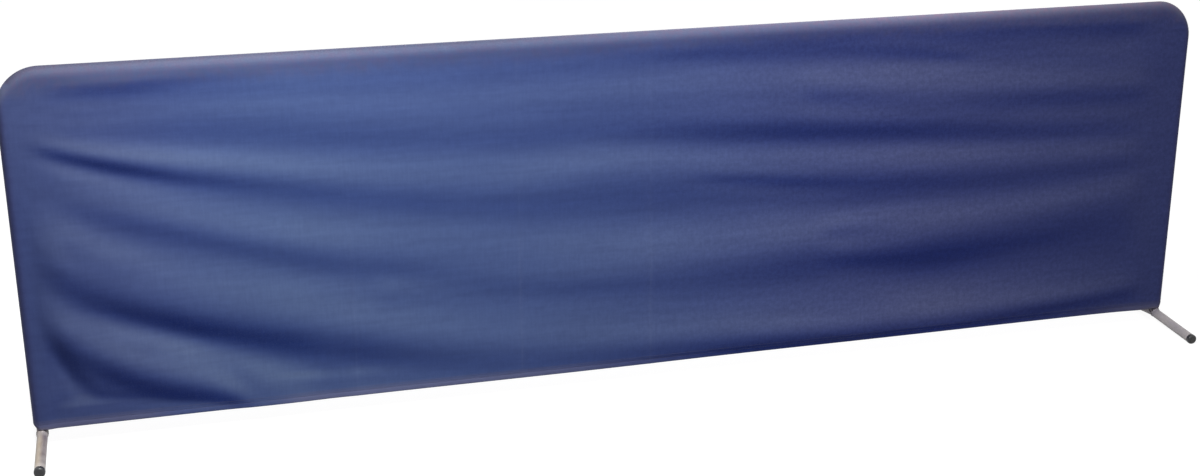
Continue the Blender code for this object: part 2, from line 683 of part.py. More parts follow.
SIDES = (("left", -1), ("right", 1))
FLOOR = add_cutter(
    "floor",
    box_mesh((-BARRIER_WIDTH, -BARRIER_WIDTH, -BARRIER_HEIGHT), (BARRIER_WIDTH, BARRIER_WIDTH, 0)),
)
NOTCHES = [corner_notch(word, side) for word, side in SIDES]
build_frame()
for word, side in SIDES:
    build_foot(word, side)
add_panel("front_panel", -1, 1.0)
add_panel("back_panel", 1, BACK_FOLD_SHARE)
add_closure()
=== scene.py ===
# Table tennis barrier: a steel tube frame in a navy cloth sleeve, on two swivelling tube feet.
# Each section below makes or finishes one piece, in the order in which the barrier is put together.
# Metres, +Z up; the front faces -Y, and the origin is on the floor under the barrier's middle.

import math

import bmesh
import bpy
import numpy as np
from mathutils import Matrix, Vector, noise


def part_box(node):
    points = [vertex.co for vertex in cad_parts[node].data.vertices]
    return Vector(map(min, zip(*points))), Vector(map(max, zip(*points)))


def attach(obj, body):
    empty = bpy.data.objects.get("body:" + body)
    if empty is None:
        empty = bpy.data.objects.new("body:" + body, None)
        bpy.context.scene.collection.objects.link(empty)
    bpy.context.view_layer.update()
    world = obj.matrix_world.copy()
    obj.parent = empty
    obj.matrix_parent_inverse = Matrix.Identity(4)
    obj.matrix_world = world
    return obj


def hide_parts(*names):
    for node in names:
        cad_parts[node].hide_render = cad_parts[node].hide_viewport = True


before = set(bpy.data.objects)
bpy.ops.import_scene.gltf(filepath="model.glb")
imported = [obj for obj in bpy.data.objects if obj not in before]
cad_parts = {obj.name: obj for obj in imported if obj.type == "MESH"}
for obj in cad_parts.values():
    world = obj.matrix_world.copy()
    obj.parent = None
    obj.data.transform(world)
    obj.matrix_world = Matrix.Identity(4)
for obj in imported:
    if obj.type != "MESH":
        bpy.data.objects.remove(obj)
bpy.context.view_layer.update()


# FRAME TUBES AND BOTTOM RAIL
# Two bent steel tubes are the uprights and the top rail, and two straight ones are the rail between them.
# They are cold drawn and zinc coated: dull grey, faintly mottled, with fine drawing marks along the tube.


class Wire:
    """A node's output, on which Python arithmetic adds Math nodes."""

    def __init__(self, nodes, socket):
        self.nodes = nodes
        self.socket = socket

    def __add__(self, other):
        return self.nodes.math("ADD", self, other)

    def __rsub__(self, other):
        return self.nodes.math("SUBTRACT", other, self)

    def __mul__(self, other):
        return self.nodes.math("MULTIPLY", self, other)

    __radd__ = __add__
    __rmul__ = __mul__


class Nodes:
    """The node tree of a material or of the world. node() adds every node that isn't plain arithmetic."""

    def __init__(self, owner):
        self.owner = owner
        owner.use_nodes = True
        self.tree = owner.node_tree

    def feed(self, socket, value):
        """Links a node's output to a socket, or sets its value; a colour is written without its alpha."""
        if isinstance(value, Wire):
            self.tree.links.new(value.socket, socket)
        else:
            socket.default_value = (*value, 1) if socket.type == "RGBA" else value

    def node(self, kind, settings, sockets, output=0):
        """Adds a node: its type, its settings, then the values or links of its sockets."""
        made = self.tree.nodes.new(kind)
        for key, value in settings.items():
            setattr(made, key, value)
        for key, value in sockets.items():
            self.feed(made.inputs[key], value)
        return Wire(self, made.outputs[output])

    def math(self, operation, *values):
        return self.node("ShaderNodeMath", {"operation": operation}, dict(enumerate(values)))

    def stretched(self, spot, stretch):
        return self.node("ShaderNodeMapping", {}, {"Vector": spot, "Scale": stretch})

    def place(self, stretch=(1, 1, 1)):
        """The piece's own place in metres, stretched for a pattern."""
        return self.stretched(self.node("ShaderNodeTexCoord", {}, {}, "Object"), stretch)

    def axis(self, spot, word):
        return self.node("ShaderNodeSeparateXYZ", {}, {0: spot}, word)

    def attribute(self, name):
        """A value that is kept with the mesh."""
        return self.node("ShaderNodeAttribute", {"attribute_name": name}, {}, "Fac")

    def cloud(self, place, scale, detail=3.0, roughness=0.5):
        """Soft noise from 0 to 1."""
        sockets = {"Vector": place, "Scale": scale, "Detail": detail, "Roughness": roughness}
        return self.node("ShaderNodeTexNoise", {}, sockets)

    def span(self, value, low, high, to_low=0.0, to_high=1.0):
        """Takes low..high smoothly to to_low..to_high."""
        sockets = {"Value": value, "From Min": low, "From Max": high, "To Min": to_low, "To Max": to_high}
        return self.node("ShaderNodeMapRange", {"interpolation_type": "SMOOTHSTEP"}, sockets)

    def tint(self, factor, first, second, way="MIX"):
        """Mixes two colours."""
        settings = {"data_type": "RGBA", "blend_type": way}
        return self.node("ShaderNodeMix", settings, {0: factor, 6: first, 7: second}, 2)

    def coats(self, colour, *layers, way="MIX"):
        """Lays colours over the first one, each where and as strongly as its factor says."""
        for factor, second in layers:
            colour = self.tint(factor, colour, second, way)
        return colour

    def bump(self, height, depth, strength=1.0, below=None):
        sockets = {"Height": height, "Distance": depth, "Strength": strength}
        if below:
            sockets["Normal"] = below
        return self.node("ShaderNodeBump", {}, sockets)

    def shade(self, sockets):
        """Sets the Principled shader's sockets."""
        for key, value in sockets.items():
            self.feed(self.tree.nodes["Principled BSDF"].inputs[key], value)
        return self.owner


def paint(name):
    """The node tree of a new material."""
    return Nodes(bpy.data.materials.new(name))


def finish_parts(names, material):
    """Gives CAD pieces that stay as they are their finish."""
    for name in names:
        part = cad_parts[name]
        for place in part.material_slots:
            place.material = material


def drawn_tube(name, marks_along):
    """Zinc coated tube: mottled grey, marks along the tube, a few dull patches and scuffs."""
    nodes = paint(name)
    mottle = nodes.cloud(nodes.place(), 38, 4)
    patches = nodes.span(nodes.cloud(nodes.place(), 9, 2), 0.48, 0.68)
    marks = nodes.cloud(nodes.place(marks_along), 90, 2, 0.7)
    scuffs = nodes.span(nodes.cloud(nodes.place(marks_along), 300, 1), 0.66, 0.72)
    colour = nodes.coats(
        (0.40, 0.39, 0.39),
        (nodes.span(mottle, 0.3, 0.7), (0.50, 0.49, 0.48)),
        (patches * 0.35, (0.36, 0.34, 0.33)),
        (scuffs * 0.3, (0.62, 0.60, 0.58)),
    )
    return nodes.shade({
        "Base Color": colour, "Metallic": 0.62,
        "Roughness": 0.36 + mottle * 0.10 + patches * 0.12 + marks * 0.08,
        "Normal": nodes.bump(mottle, 0.0002, 0.35, nodes.bump(marks, 0.00006, 0.6)),
    })


SIDES = ("left", "right")
for tube, kind, along in (("frame_tube", "upright", (1, 1, 0.04)), ("bottom_rail", "rail", (0.04, 1, 1))):
    grey = drawn_tube(f"zinc_coated_{kind}", along)
    finish_parts([f"{tube}_{word}" for word in SIDES], grey)


# MIDDLE JOINTS
# Short inner tubes join the frame's two halves at the top and the bottom, each held by two pan head screws.
# Bright zinc plate, slightly yellow, with the turning marks of the cutting still on it.


def bright_zinc():
    nodes = paint("bright_zinc_plate")
    stain = nodes.cloud(nodes.place(), 55, 3)
    turning = nodes.cloud(nodes.place((0.05, 1, 1)), 700, 1)
    colour = nodes.tint(nodes.span(stain, 0.35, 0.7), (0.66, 0.64, 0.56), (0.58, 0.60, 0.62))
    return nodes.shade({
        "Base Color": colour, "Metallic": 0.92, "Roughness": 0.24 + stain * 0.18,
        "Normal": nodes.bump(turning, 0.00003, 0.5),
    })


ZINC = bright_zinc()
finish_parts([
    "top_joint_sleeve", "bottom_joint_sleeve",
    *(f"{rail}_joint_screw_{word}" for rail in ("top", "bottom") for word in SIDES),
], ZINC)


# SWIVEL FITTINGS
# A nylon bush in each upright's mouth carries the foot's stem, and a nylon plug on the stem keeps it central.
# Natural grey moulded nylon, a little cloudy; the spring pin that stops the swivel is zinc plated.


def moulded_nylon():
    nodes = paint("grey_moulded_nylon")
    cloud = nodes.cloud(nodes.place(), 70, 3)
    orange_peel = nodes.cloud(nodes.place(), 900, 2)
    return nodes.shade({
        "Base Color": nodes.tint(cloud, (0.40, 0.40, 0.41), (0.50, 0.50, 0.50)),
        "Roughness": 0.42 + cloud * 0.14, "Subsurface Weight": 0.05, "Subsurface Scale": 0.002,
        "Normal": nodes.bump(orange_peel, 0.00005, 0.4),
    })


finish_parts(
    [f"{part}_{word}" for part in ("swivel_bush", "foot_stem_plug") for word in SIDES],
    moulded_nylon(),
)
finish_parts([f"foot_stop_pin_{word}" for word in SIDES], ZINC)


# FOOT TUBES
# One tube is the stem, a tight bend and the front prong; the rear prong is welded to the bend's back.
# Satin silver-grey lacquer over steel, warm in tone, rubbed where the prongs stand; painted light and shade
# make the two feet differ and darken the bend.

FOOT_RADIUS = 0.0095
FOOT_WALL = 0.0015
FOOT_BEND_RADIUS = 0.020
FOOT_REACH = 0.150  # from the stem's axis to a cap's end
CAP_HEAD_LENGTH = 0.0095
TUBE_SIDES = 48
BEND_STEPS = 20
stem_low, stem_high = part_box("foot_tube_left")
UPRIGHT_X = -(stem_low.x + stem_high.x) / 2
TIP_HEIGHT = 0.0092  # of a prong's axis at its cap's end
ROOT_HEIGHT = 0.0193  # of a prong's axis where the bend ends
SLOPE = math.atan((ROOT_HEIGHT - TIP_HEIGHT) / (FOOT_REACH - FOOT_BEND_RADIUS))
BEND_ANGLE = math.pi / 2 - SLOPE
BEND_END_Y = -FOOT_BEND_RADIUS * (1 - math.cos(BEND_ANGLE))
BEND_END_Z = TIP_HEIGHT + (FOOT_REACH + BEND_END_Y) * math.tan(SLOPE)
BEND_CENTRE = Vector((-UPRIGHT_X, -FOOT_BEND_RADIUS, BEND_END_Z + FOOT_BEND_RADIUS * math.sin(BEND_ANGLE)))
STEM_TOP_Z = stem_high.z
SHOULDER = FOOT_REACH - CAP_HEAD_LENGTH
WELD_START = 0.020  # along the rear prong, from where its inner end is taken back to the front tube
WELD_STEP = 0.0002
WELD_GAP = 0.0001
BEAD_RADIUS = 0.0015
BEAD_LIFT = 0.0003
BEAD_POINTS = 96


def prong_point(way, out):
    """A point on a left prong's axis; way is -1 in front and +1 behind."""
    return Vector((-UPRIGHT_X, way * out, TIP_HEIGHT + (FOOT_REACH - out) * math.tan(SLOPE)))


REAR_WAY = (prong_point(1, SHOULDER) - prong_point(1, 0)).normalized()


def aim(direction):
    """The turn that takes +Z to the direction."""
    return Vector(direction).to_track_quat("Z", "Y").to_matrix().to_4x4()


MERGE = 0.00001  # vertices that lie closer than this are one


def deselect():
    bpy.ops.object.select_all(action="DESELECT")


def take(piece):
    """Selects one piece alone and makes it the active one."""
    deselect()
    piece.select_set(True)
    bpy.context.view_layer.objects.active = piece


def begin(name):
    """Names the primitive that was just added and opens it for editing, with all of it selected."""
    piece = bpy.context.object
    piece.name = piece.data.name = name
    bpy.ops.object.transform_apply(location=True, rotation=True, scale=True)
    bpy.ops.object.mode_set(mode="EDIT")
    return piece


def extrude(way):
    bpy.ops.mesh.extrude_region_move(TRANSFORM_OT_translate={"value": way})


def end_edit(merged=False):
    """Turns all the normals outwards and leaves edit mode."""
    bpy.ops.mesh.select_all(action="SELECT")
    if merged:
        bpy.ops.mesh.remove_doubles(threshold=MERGE)
    bpy.ops.mesh.normals_make_consistent(inside=False)
    bpy.ops.object.mode_set(mode="OBJECT")


def modify(piece, kind, **settings):
    """Adds a modifier to the piece and applies it."""
    step = piece.modifiers.new("step", kind)
    for key, value in settings.items():
        setattr(step, key, value)
    take(piece)
    bpy.ops.object.modifier_apply(modifier="step")


def smooth(piece, degrees):
    """Smooth shading, with edges kept that are sharper than the angle."""
    take(piece)
    bpy.ops.object.shade_smooth_by_angle(angle=math.radians(degrees))


def front_tube(name):
    """The stem, bend and front prong of the left foot, as one tube."""
    deselect()
    bpy.ops.mesh.primitive_circle_add(
        vertices=TUBE_SIDES, radius=FOOT_RADIUS, location=(-UPRIGHT_X, 0, STEM_TOP_Z),
    )
    piece = begin(name)
    extrude((0, 0, BEND_CENTRE.z - STEM_TOP_Z))
    bpy.ops.mesh.spin(steps=BEND_STEPS, angle=BEND_ANGLE, center=BEND_CENTRE, axis=(1, 0, 0))
    extrude(prong_point(-1, SHOULDER) - prong_point(-1, -BEND_END_Y))
    end_edit(merged=True)
    modify(piece, "SOLIDIFY", thickness=FOOT_WALL, offset=-1, use_even_offset=True)
    return piece


def off_front_axis(point):
    """How far a point is from the axis of the left foot's front tube."""
    flat = Vector((point.x, point.y - BEND_CENTRE.y, point.z - BEND_CENTRE.z))
    turn = math.atan2(-flat.z, flat.y)
    if turn < 0:
        return math.hypot(point.x + UPRIGHT_X, point.y)
    if turn < BEND_ANGLE:
        return math.hypot(point.x + UPRIGHT_X, math.hypot(flat.y, flat.z) - FOOT_BEND_RADIUS)
    along = (prong_point(-1, FOOT_REACH) - prong_point(-1, 0)).normalized()
    return (point - prong_point(-1, 0)).cross(along).length


def reach_front_tube(point, radius):
    """Goes from the rear prong to the front tube's face, or to where it is nearest to that tube's axis."""
    step = -REAR_WAY * WELD_STEP
    while off_front_axis(point) > radius and off_front_axis(point + step) < off_front_axis(point):
        point = point + step
    return point


def rear_tube(name):
    """The left foot's rear prong, its inner end shaped to the bend."""
    deselect()
    bpy.ops.mesh.primitive_circle_add(
        vertices=TUBE_SIDES, radius=FOOT_RADIUS, location=prong_point(1, SHOULDER),
        rotation=aim(REAR_WAY).to_euler(),
    )
    piece = begin(name)
    extrude(prong_point(1, WELD_START) - prong_point(1, SHOULDER))
    shape = bmesh.from_edit_mesh(piece.data)
    for vert in shape.verts:
        if vert.select:
            vert.co = reach_front_tube(vert.co, FOOT_RADIUS + WELD_GAP)
    bmesh.update_edit_mesh(piece.data)
    end_edit()
    modify(piece, "SOLIDIFY", thickness=FOOT_WALL, offset=-1)
    return piece


def new_piece(name, data):
    """Puts a mesh or a curve into the scene as an object."""
    piece = bpy.data.objects.new(name, data)
    bpy.context.scene.collection.objects.link(piece)
    return piece


def weld_bead(name):
    """The rippled bead of the weld, along the line where the rear prong meets the bend."""
    turn = aim(REAR_WAY)
    line = bpy.data.curves.new(name, "CURVE")
    line.dimensions = "3D"
    line.bevel_depth = BEAD_RADIUS
    line.bevel_resolution = 3
    spline = line.splines.new("POLY")
    spline.points.add(BEAD_POINTS - 1)
    spline.use_cyclic_u = True
    for n, point in enumerate(spline.points):
        angle = math.tau * n / BEAD_POINTS
        rim = Vector((math.cos(angle), math.sin(angle), 0)) * FOOT_RADIUS
        start = prong_point(1, WELD_START) + turn @ rim
        place = reach_front_tube(start, FOOT_RADIUS + BEAD_LIFT)
        point.co = (*place, 1)
        point.radius = 1 + 0.16 * math.cos(n * math.tau / 4) + 0.12 * math.sin(angle * 5)
    take(new_piece(name, line))
    bpy.ops.object.convert(target="MESH")
    piece = bpy.context.object
    bpy.ops.object.mode_set(mode="EDIT")
    end_edit(merged=True)
    return piece


def silver_lacquer():
    """Satin lacquer: silver grey, warm on the left foot and lilac on the right as painted light, painted
    shade on the left foot's inner side and at the bend, rubbed dull low down and pale at the caps.
    """
    nodes = paint("silver_grey_lacquer")
    flake = nodes.cloud(nodes.place(), 900, 2)
    dull = nodes.cloud(nodes.place(), 24, 4)
    marks = nodes.span(nodes.cloud(nodes.place((1, 0.08, 0.3)), 260, 2), 0.60, 0.68)
    axis = {word: nodes.axis(nodes.place(), word) for word in "XYZ"}
    out = nodes.math("ABSOLUTE", axis["Y"])
    low = nodes.span(axis["Z"], 0.014, 0.002)
    # Painted shade: the left foot's inner side, towards +X, is darker and more lilac, as if turned away from
    # the light.
    inner = nodes.span(axis["X"], -0.0040 - UPRIGHT_X, 0.0060 - UPRIGHT_X)
    collar = nodes.span(out, SHOULDER - 0.022, SHOULDER - 0.006)
    colour = nodes.coats(
        (0.325, 0.258, 0.196),
        (inner, (0.115, 0.088, 0.098)),
        # Painted light: the right foot cooler lilac grey and the left foot warm beige, for the different
        # light on the two feet.
        (nodes.span(axis["X"], -0.5, 0.5), (0.36, 0.325, 0.350)),
        # Painted shadow: darker blue lilac near the stem, where the cloth shades the bend.
        (nodes.span(out, 0.050, 0.012) * 0.55, (0.140, 0.125, 0.165)),
        (nodes.span(dull, 0.3, 0.7) * 0.5, (0.46, 0.42, 0.40)),
        (collar * 0.25, (0.60, 0.54, 0.50)),
        (low * 0.45 * dull, (0.18, 0.165, 0.165)),
        (marks * 0.25, (0.58, 0.54, 0.50)),
    )
    return nodes.shade({
        "Base Color": colour, "Metallic": 0.10, "Specular IOR Level": 0.42,
        "Roughness": 0.40 + dull * 0.14 + low * 0.12,
        "Normal": nodes.bump(flake, 0.00004, 0.5, nodes.bump(dull, 0.0002, 0.3)),
    })


def finish(piece, material, slot, body, *stands_for):
    """Paints a new piece and ties it to the body that carries it."""
    piece.data.materials.clear()
    piece.data.materials.append(material)
    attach(piece, body)
    if stands_for:
        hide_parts(*stands_for)


def finish_pair(piece, degrees, material, slot, *stands_for):
    """Mirrors a left foot's piece for the right foot, and smooths and finishes both."""
    smooth(piece, degrees)
    right = new_piece(f"{piece.name}_right", piece.data.copy())
    right.data.name = right.name
    right.data.transform(Matrix.Scale(-1, 4, (1, 0, 0)))
    right.data.flip_normals()
    piece.name = piece.data.name = f"{piece.name}_left"
    for word, made in (("left", piece), ("right", right)):
        finish(made, material, slot, f"foot_{word}", *(f"{node}_{word}" for node in stands_for))


LACQUER = silver_lacquer()
LEFT_FOOT = [
    (front_tube("foot_front_tube_shaped"), "foot_tube"),
    (rear_tube("foot_rear_tube_shaped"), "foot_rear_tube"),
    (weld_bead("foot_weld_bead"),),
]
for piece, *node in LEFT_FOOT:
    finish_pair(piece, 40, LACQUER, "foot_tube_steel", *node)


# FOOT CAPS
# A push-in cap closes each prong: a domed head, and a ribbed spigot that grips inside the tube.
# Black moulded plastic, scuffed where it stands on the floor and slides on it.

CAP_RADIUS = 0.010
CAP_DOME = 0.0042
CAP_RING = 0.0028  # from the dome to the boss in the middle of the cap's end
CAP_BOSS = 0.00035
SPIGOT_LENGTH = 0.018
SPIGOT_CLEARANCE = 0.0003
SPIGOT_RADIUS = FOOT_RADIUS - FOOT_WALL - SPIGOT_CLEARANCE
SPIGOT_RIBS = 6
RIB_SHARE = 0.94
SPIGOT_EDGE = 0.0015
SPIGOT_DOME = 0.0006


def pick_faces(piece, wanted):
    """In edit mode, selects only the faces for which wanted says yes."""
    bpy.ops.mesh.select_mode(type="FACE")
    bpy.ops.mesh.select_all(action="DESELECT")
    shape = bmesh.from_edit_mesh(piece.data)
    for face in shape.faces:
        face.select_set(wanted(face))
    bmesh.update_edit_mesh(piece.data)


def foot_cap(name, way):
    """A left foot's cap, turned about +Z and then set in the prong's end."""
    deselect()
    bpy.ops.mesh.primitive_cylinder_add(
        vertices=TUBE_SIDES, radius=CAP_RADIUS, depth=CAP_HEAD_LENGTH, location=(0, 0, CAP_HEAD_LENGTH / 2),
    )
    piece = begin(name)
    pick_faces(piece, lambda face: face.normal.z > 0.9)
    bpy.ops.mesh.bevel(offset=CAP_DOME, offset_type="OFFSET", segments=8, profile=0.5)
    pick_faces(piece, lambda face: face.normal.z > 0.99)
    bpy.ops.mesh.inset(thickness=CAP_RING)
    bpy.ops.transform.translate(value=(0, 0, CAP_BOSS))
    pick_faces(piece, lambda face: face.normal.z < -0.9)
    bpy.ops.mesh.inset(thickness=CAP_RADIUS - SPIGOT_RADIUS)
    for rib in range(SPIGOT_RIBS):
        extrude((0, 0, -SPIGOT_LENGTH / SPIGOT_RIBS))
        share = RIB_SHARE if rib % 2 == 0 else 1 / RIB_SHARE
        bpy.ops.transform.resize(value=(share, share, 1))
    bpy.ops.mesh.inset(thickness=SPIGOT_EDGE)
    bpy.ops.transform.translate(value=(0, 0, -SPIGOT_DOME))
    bpy.ops.object.mode_set(mode="OBJECT")
    outwards = prong_point(way, SHOULDER) - prong_point(way, 0)
    piece.data.transform(Matrix.Translation(prong_point(way, SHOULDER)) @ aim(outwards))
    bpy.ops.object.mode_set(mode="EDIT")
    bpy.ops.mesh.select_all(action="SELECT")
    bpy.ops.mesh.bisect(
        plane_co=(0, 0, 0), plane_no=(0, 0, 1), use_fill=True, clear_inner=True, threshold=MERGE / 10,
    )
    end_edit()
    return piece


def black_plastic():
    nodes = paint("black_moulded_plastic")
    grain = nodes.cloud(nodes.place(), 1400, 2)
    scuff = nodes.cloud(nodes.place((1, 0.2, 1)), 160, 3)
    rubbed = nodes.span(nodes.axis(nodes.place(), "Z"), 0.007, 0.0) * nodes.span(scuff, 0.42, 0.6)
    return nodes.shade({
        "Base Color": nodes.tint(rubbed * 0.6, (0.020, 0.019, 0.022), (0.12, 0.115, 0.11)),
        "Roughness": 0.42 + rubbed * 0.3, "Normal": nodes.bump(grain, 0.00006, 0.4),
    })


PLASTIC = black_plastic()
for end, way in (("front", -1), ("rear", 1)):
    cap = foot_cap(f"foot_cap_{end}_domed", way)
    finish_pair(cap, 35, PLASTIC, "black_cap_plastic", f"foot_cap_{end}")


# CLOTH SLEEVE
# Two panels of coated polyester are sewn together along the top and the sides, and drawn down over the frame.
# The cloth is pulled tight between the uprights, so long shallow folds fan out from its corners and sides.

panel_low, panel_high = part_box("front_panel")
HALF_WIDTH = panel_high.x
TOP = panel_high.z
HEM_Z = panel_low.z
DROP = TOP - HEM_Z
WRAP_RADIUS = HALF_WIDTH - UPRIGHT_X
QUARTER = WRAP_RADIUS * math.pi / 2  # of cloth from the seam to the flat of the front
CORNER_RADIUS = 0.076
TOP_EASE = 0.005  # how much further down the cloth's round reaches at the top
CLOTH_THICKNESS = 0.00048
SEAM_HALF_GAP = 0.00012
THREAD_PITCH = 0.0013  # of the weave
CLOTH_ACROSS = 2 * (HALF_WIDTH - WRAP_RADIUS + QUARTER)
CLOTH_DOWN = DROP - WRAP_RADIUS + QUARTER
MOUTH_Z = 0.0423  # of the upright's open lower end
HEM_DEPTH = 0.0100
HEM_STITCH = 0.0092  # above the lower edge
TAPE_STITCH = 0.0165  # above the lower edge
CORNER_LIFT = 0.011  # of the lower edge at the seam, where the stem comes out
CORNER_LIFT_WIDTH = 0.007
STORAGE_CREASES = (0.29, 0.59, 0.91, 1.17)  # from the left side, where the sleeve was folded away
CREASE_WEAR = (0.2, 0.6, 1.0, 1.0)

# The front's folds: half widths at the left end, the middle and the right end, then the fold's line, as
# places from the left side and from the top with the cloth's slope there; below zero the cloth looks down.
# Widths and places are in millimetres, slopes in percent.
FRONT_FOLDS = [
    (17, 29, 38, [(50, 48, 2), (200, 42, -13), (360, 36, -5), (520, 40, 1)]),
    (16, 17, 21, [(1000, 41, 3), (1300, 50, -6), (1600, 67, -1), (1900, 42, -5), (2250, 49, -14)]),
    (22, 17, 10, [(1350, 30, 2), (1600, 65, -5), (1860, 91, -12)]),
    (10, 32, 48, [(80, 86, -5), (400, 90, 2), (800, 99, 3), (1200, 100, 8), (1550, 106, 14), (1900, 132, 10),
     (2270, 142, 3)]),
    (25, 30, 29, [(60, 119, -7), (350, 145, -4), (700, 171, -5), (1000, 193, -6), (1300, 205, -17),
     (1600, 224, -24), (1900, 246, -19), (2270, 275, -13)]),
    (19, 28, 19, [(1450, 137, -9), (1750, 176, -6), (2000, 183, -14), (2270, 189, -5)]),
    (45, 41, 42, [(50, 125, 6), (250, 172, 12), (450, 206, 10), (800, 256, 1), (1100, 224, 7),
     (1400, 238, 0), (1800, 284, 6), (2270, 287, 25)]),
    (13, 44, 70, [(30, 138, -12), (150, 176, -27), (300, 212, -16), (500, 249, -7), (750, 297, -7),
     (1100, 326, -3), (1400, 319, -6), (1700, 353, -12), (2000, 339, -9), (2270, 327, -9)]),
    (41, 56, 30, [(50, 208, 10), (250, 268, 15), (450, 317, 13), (750, 382, 4), (1150, 418, 10),
     (1500, 411, 7), (1850, 402, 8), (2270, 363, 14)]),
    (19, 35, 68, [(50, 234, 3), (250, 300, -5), (450, 368, -5), (750, 424, 0), (1050, 482, 1),
     (1300, 499, -5), (1550, 490, -11), (1760, 498, -25), (1960, 490, -18), (2270, 444, -9)]),
    (26, 69, 73, [(50, 265, 16), (250, 364, 13), (450, 423, 8), (750, 527, 6), (1100, 569, 4),
     (1500, 597, 2), (1900, 587, 1), (2270, 562, -3)]),
    (51, 30, 22, [(20, 353, -33), (100, 415, -28), (200, 468, -29), (300, 507, -23), (500, 557, -20),
     (750, 610, -9), (1000, 640, -7), (1300, 650, -19), (1550, 660, -28), (1800, 656, -18), (2050, 647, -29),
     (2290, 629, -14)]),
    (73, 59, 8, [(20, 500, -55), (60, 529, -47), (110, 567, -38), (160, 597, -40), (230, 625, -37),
     (310, 641, -33), (420, 670, -17)]),
    (12, 25, 46, [(30, 422, -8), (120, 464, 5), (240, 513, 17), (400, 574, 11), (600, 659, -15)]),
    (45, 33, 9, [(20, 630, -55), (100, 652, -55), (220, 647, -32)]),
    (13, 39, 62, [(1500, 427, -11), (1800, 424, -4), (2100, 406, 5), (2270, 395, 12)]),
    (12, 15, 12, [(1220, 284, -3), (1350, 301, -8), (1500, 318, -9), (1650, 329, -3), (1850, 343, -2)]),
    (16, 20, 14, [(1500, 486, -2), (1620, 493, -6), (1750, 493, -1), (1950, 486, -3), (2100, 483, -4)]),
    (14, 16, 14, [(1550, 60, 1), (1750, 72, -1), (1950, 85, -1), (2200, 97, 5)]),
    (12, 14, 14, [(1600, 290, 2), (1800, 299, 0), (2000, 300, -2), (2220, 296, 2)]),
    (20, 22, 20, [(600, 440, 11), (800, 468, 0), (1000, 491, -4), (1250, 500, -1)]),
    (20, 22, 16, [(100, 330, 6), (250, 372, -2), (450, 416, 0), (650, 454, 4)]),
    (24, 21, 11, [(10, 473, -9), (50, 542, 11), (90, 584, -13), (150, 625, -9), (240, 648, -41)]),
]
FOLD_UNITS = np.array([[1000], [1000], [100]])
FOLD_FADE = 0.07  # from each end of a fold to where it has its full depth
FRAME_MARGIN = 0.030  # from the tube's inner side to where the folds have their full depth
RAIL_CLEARANCE = 0.0028  # how far the cloth may fall in where the bottom rail lies behind it
RAIL_EASE = 0.0010
HEM_CURL = 0.0022  # how far the front's lower edge turns in towards the right
HEM_CURL_DEPTH = 0.018
RAIL_ZONE = 0.062  # above the lower edge, where the rail begins to hold the cloth out
RAIL_ZONE_FADE = 0.026
LIFT_ZONE = 0.028  # above the lower edge, where the corner begins to lift
CORNER_DRAW = 0.22  # how much of its reach past the upright the cloth loses below the upright's end
BACK_FOLD_SHARE = 0.8
DRAG_HEIGHT = 0.0004
CREASE_HEIGHT = 0.00035
CREASE_WIDTH = 0.0035
CREASE_WEAR_WIDTH = 0.0025
CORNER_STEP, ACROSS_STEP, DOWN_STEP = 0.0058, 0.0098, 0.0048  # between the panel's grid lines
STITCH_BAND = 0.00022  # how far the stitched hem stands out
STITCH_GROOVE = 0.00018
GROOVE_WIDTH = 0.0010
HEM_INSIDE = 2.05  # cloth thicknesses from a panel's outer face to the inner face of its turned-up hem
HEM_TURN = 0.0008  # of cloth in the hem's fold


def smooth_step(value):
    value = np.clip(value, 0, 1)
    return value * value * (3 - 2 * value)


def line_through(xs, values, along):
    """Value of a smooth line through points, for each place along it."""
    slopes = np.gradient(values, xs)
    n = np.clip(np.searchsorted(xs, along) - 1, 0, len(xs) - 2)
    gap = xs[n + 1] - xs[n]
    t = np.clip((along - xs[n]) / gap, 0, 1)
    start = (2 * t**3 - 3 * t**2 + 1) * values[n] + (t**3 - 2 * t**2 + t) * gap * slopes[n]
    return start + (3 * t**2 - 2 * t**3) * values[n + 1] + (t**3 - t**2) * gap * slopes[n + 1]


def fold_height(along, drop):
    """How far the folds carry the cloth out of its plane."""
    total = np.zeros(np.shape(along))
    for *widths, line in FRONT_FOLDS:
        xs, places, slopes = np.array(line).T / FOLD_UNITS
        inside = np.clip(along, xs[0], xs[-1])
        strength = smooth_step((inside - xs[0]) / FOLD_FADE) * smooth_step((xs[-1] - inside) / FOLD_FADE)
        width = np.interp(inside, [xs[0], (xs[0] + xs[-1]) / 2, xs[-1]], np.array(widths) / FOLD_UNITS[0])
        off = (drop - line_through(xs, places, inside)) / width
        total += line_through(xs, slopes, inside) * strength * width * off * np.exp(-off**2 / 2)
    return total


def fine_height(way, along, drop):
    """Small uneven drags in the cloth, drawn out along the folds."""
    fan = 0.17 * (1 - np.exp(-along / 0.45)) - 0.04 * smooth_step((along - 1.5) / 0.8)
    places = np.stack([along * 2.2, (drop - fan) * 21, np.full(np.shape(along), 3.7 * way)], axis=-1)
    flat = places.reshape(-1, 3)
    values = [noise.noise(Vector(p)) + 0.5 * noise.noise(Vector(p) * 2.1) for p in flat]
    drags = np.array(values).reshape(np.shape(along))
    creases = sum(np.exp(-np.abs(along - x) / CREASE_WIDTH) for x in STORAGE_CREASES)
    return DRAG_HEIGHT * drags + CREASE_HEIGHT * creases


def inset_of(distance):
    """Inset from the outline, for a distance from the seam along the cloth."""
    turn = np.minimum(distance / WRAP_RADIUS, math.pi / 2)
    return WRAP_RADIUS * (1 - np.cos(turn)) + np.maximum(distance - QUARTER, 0)


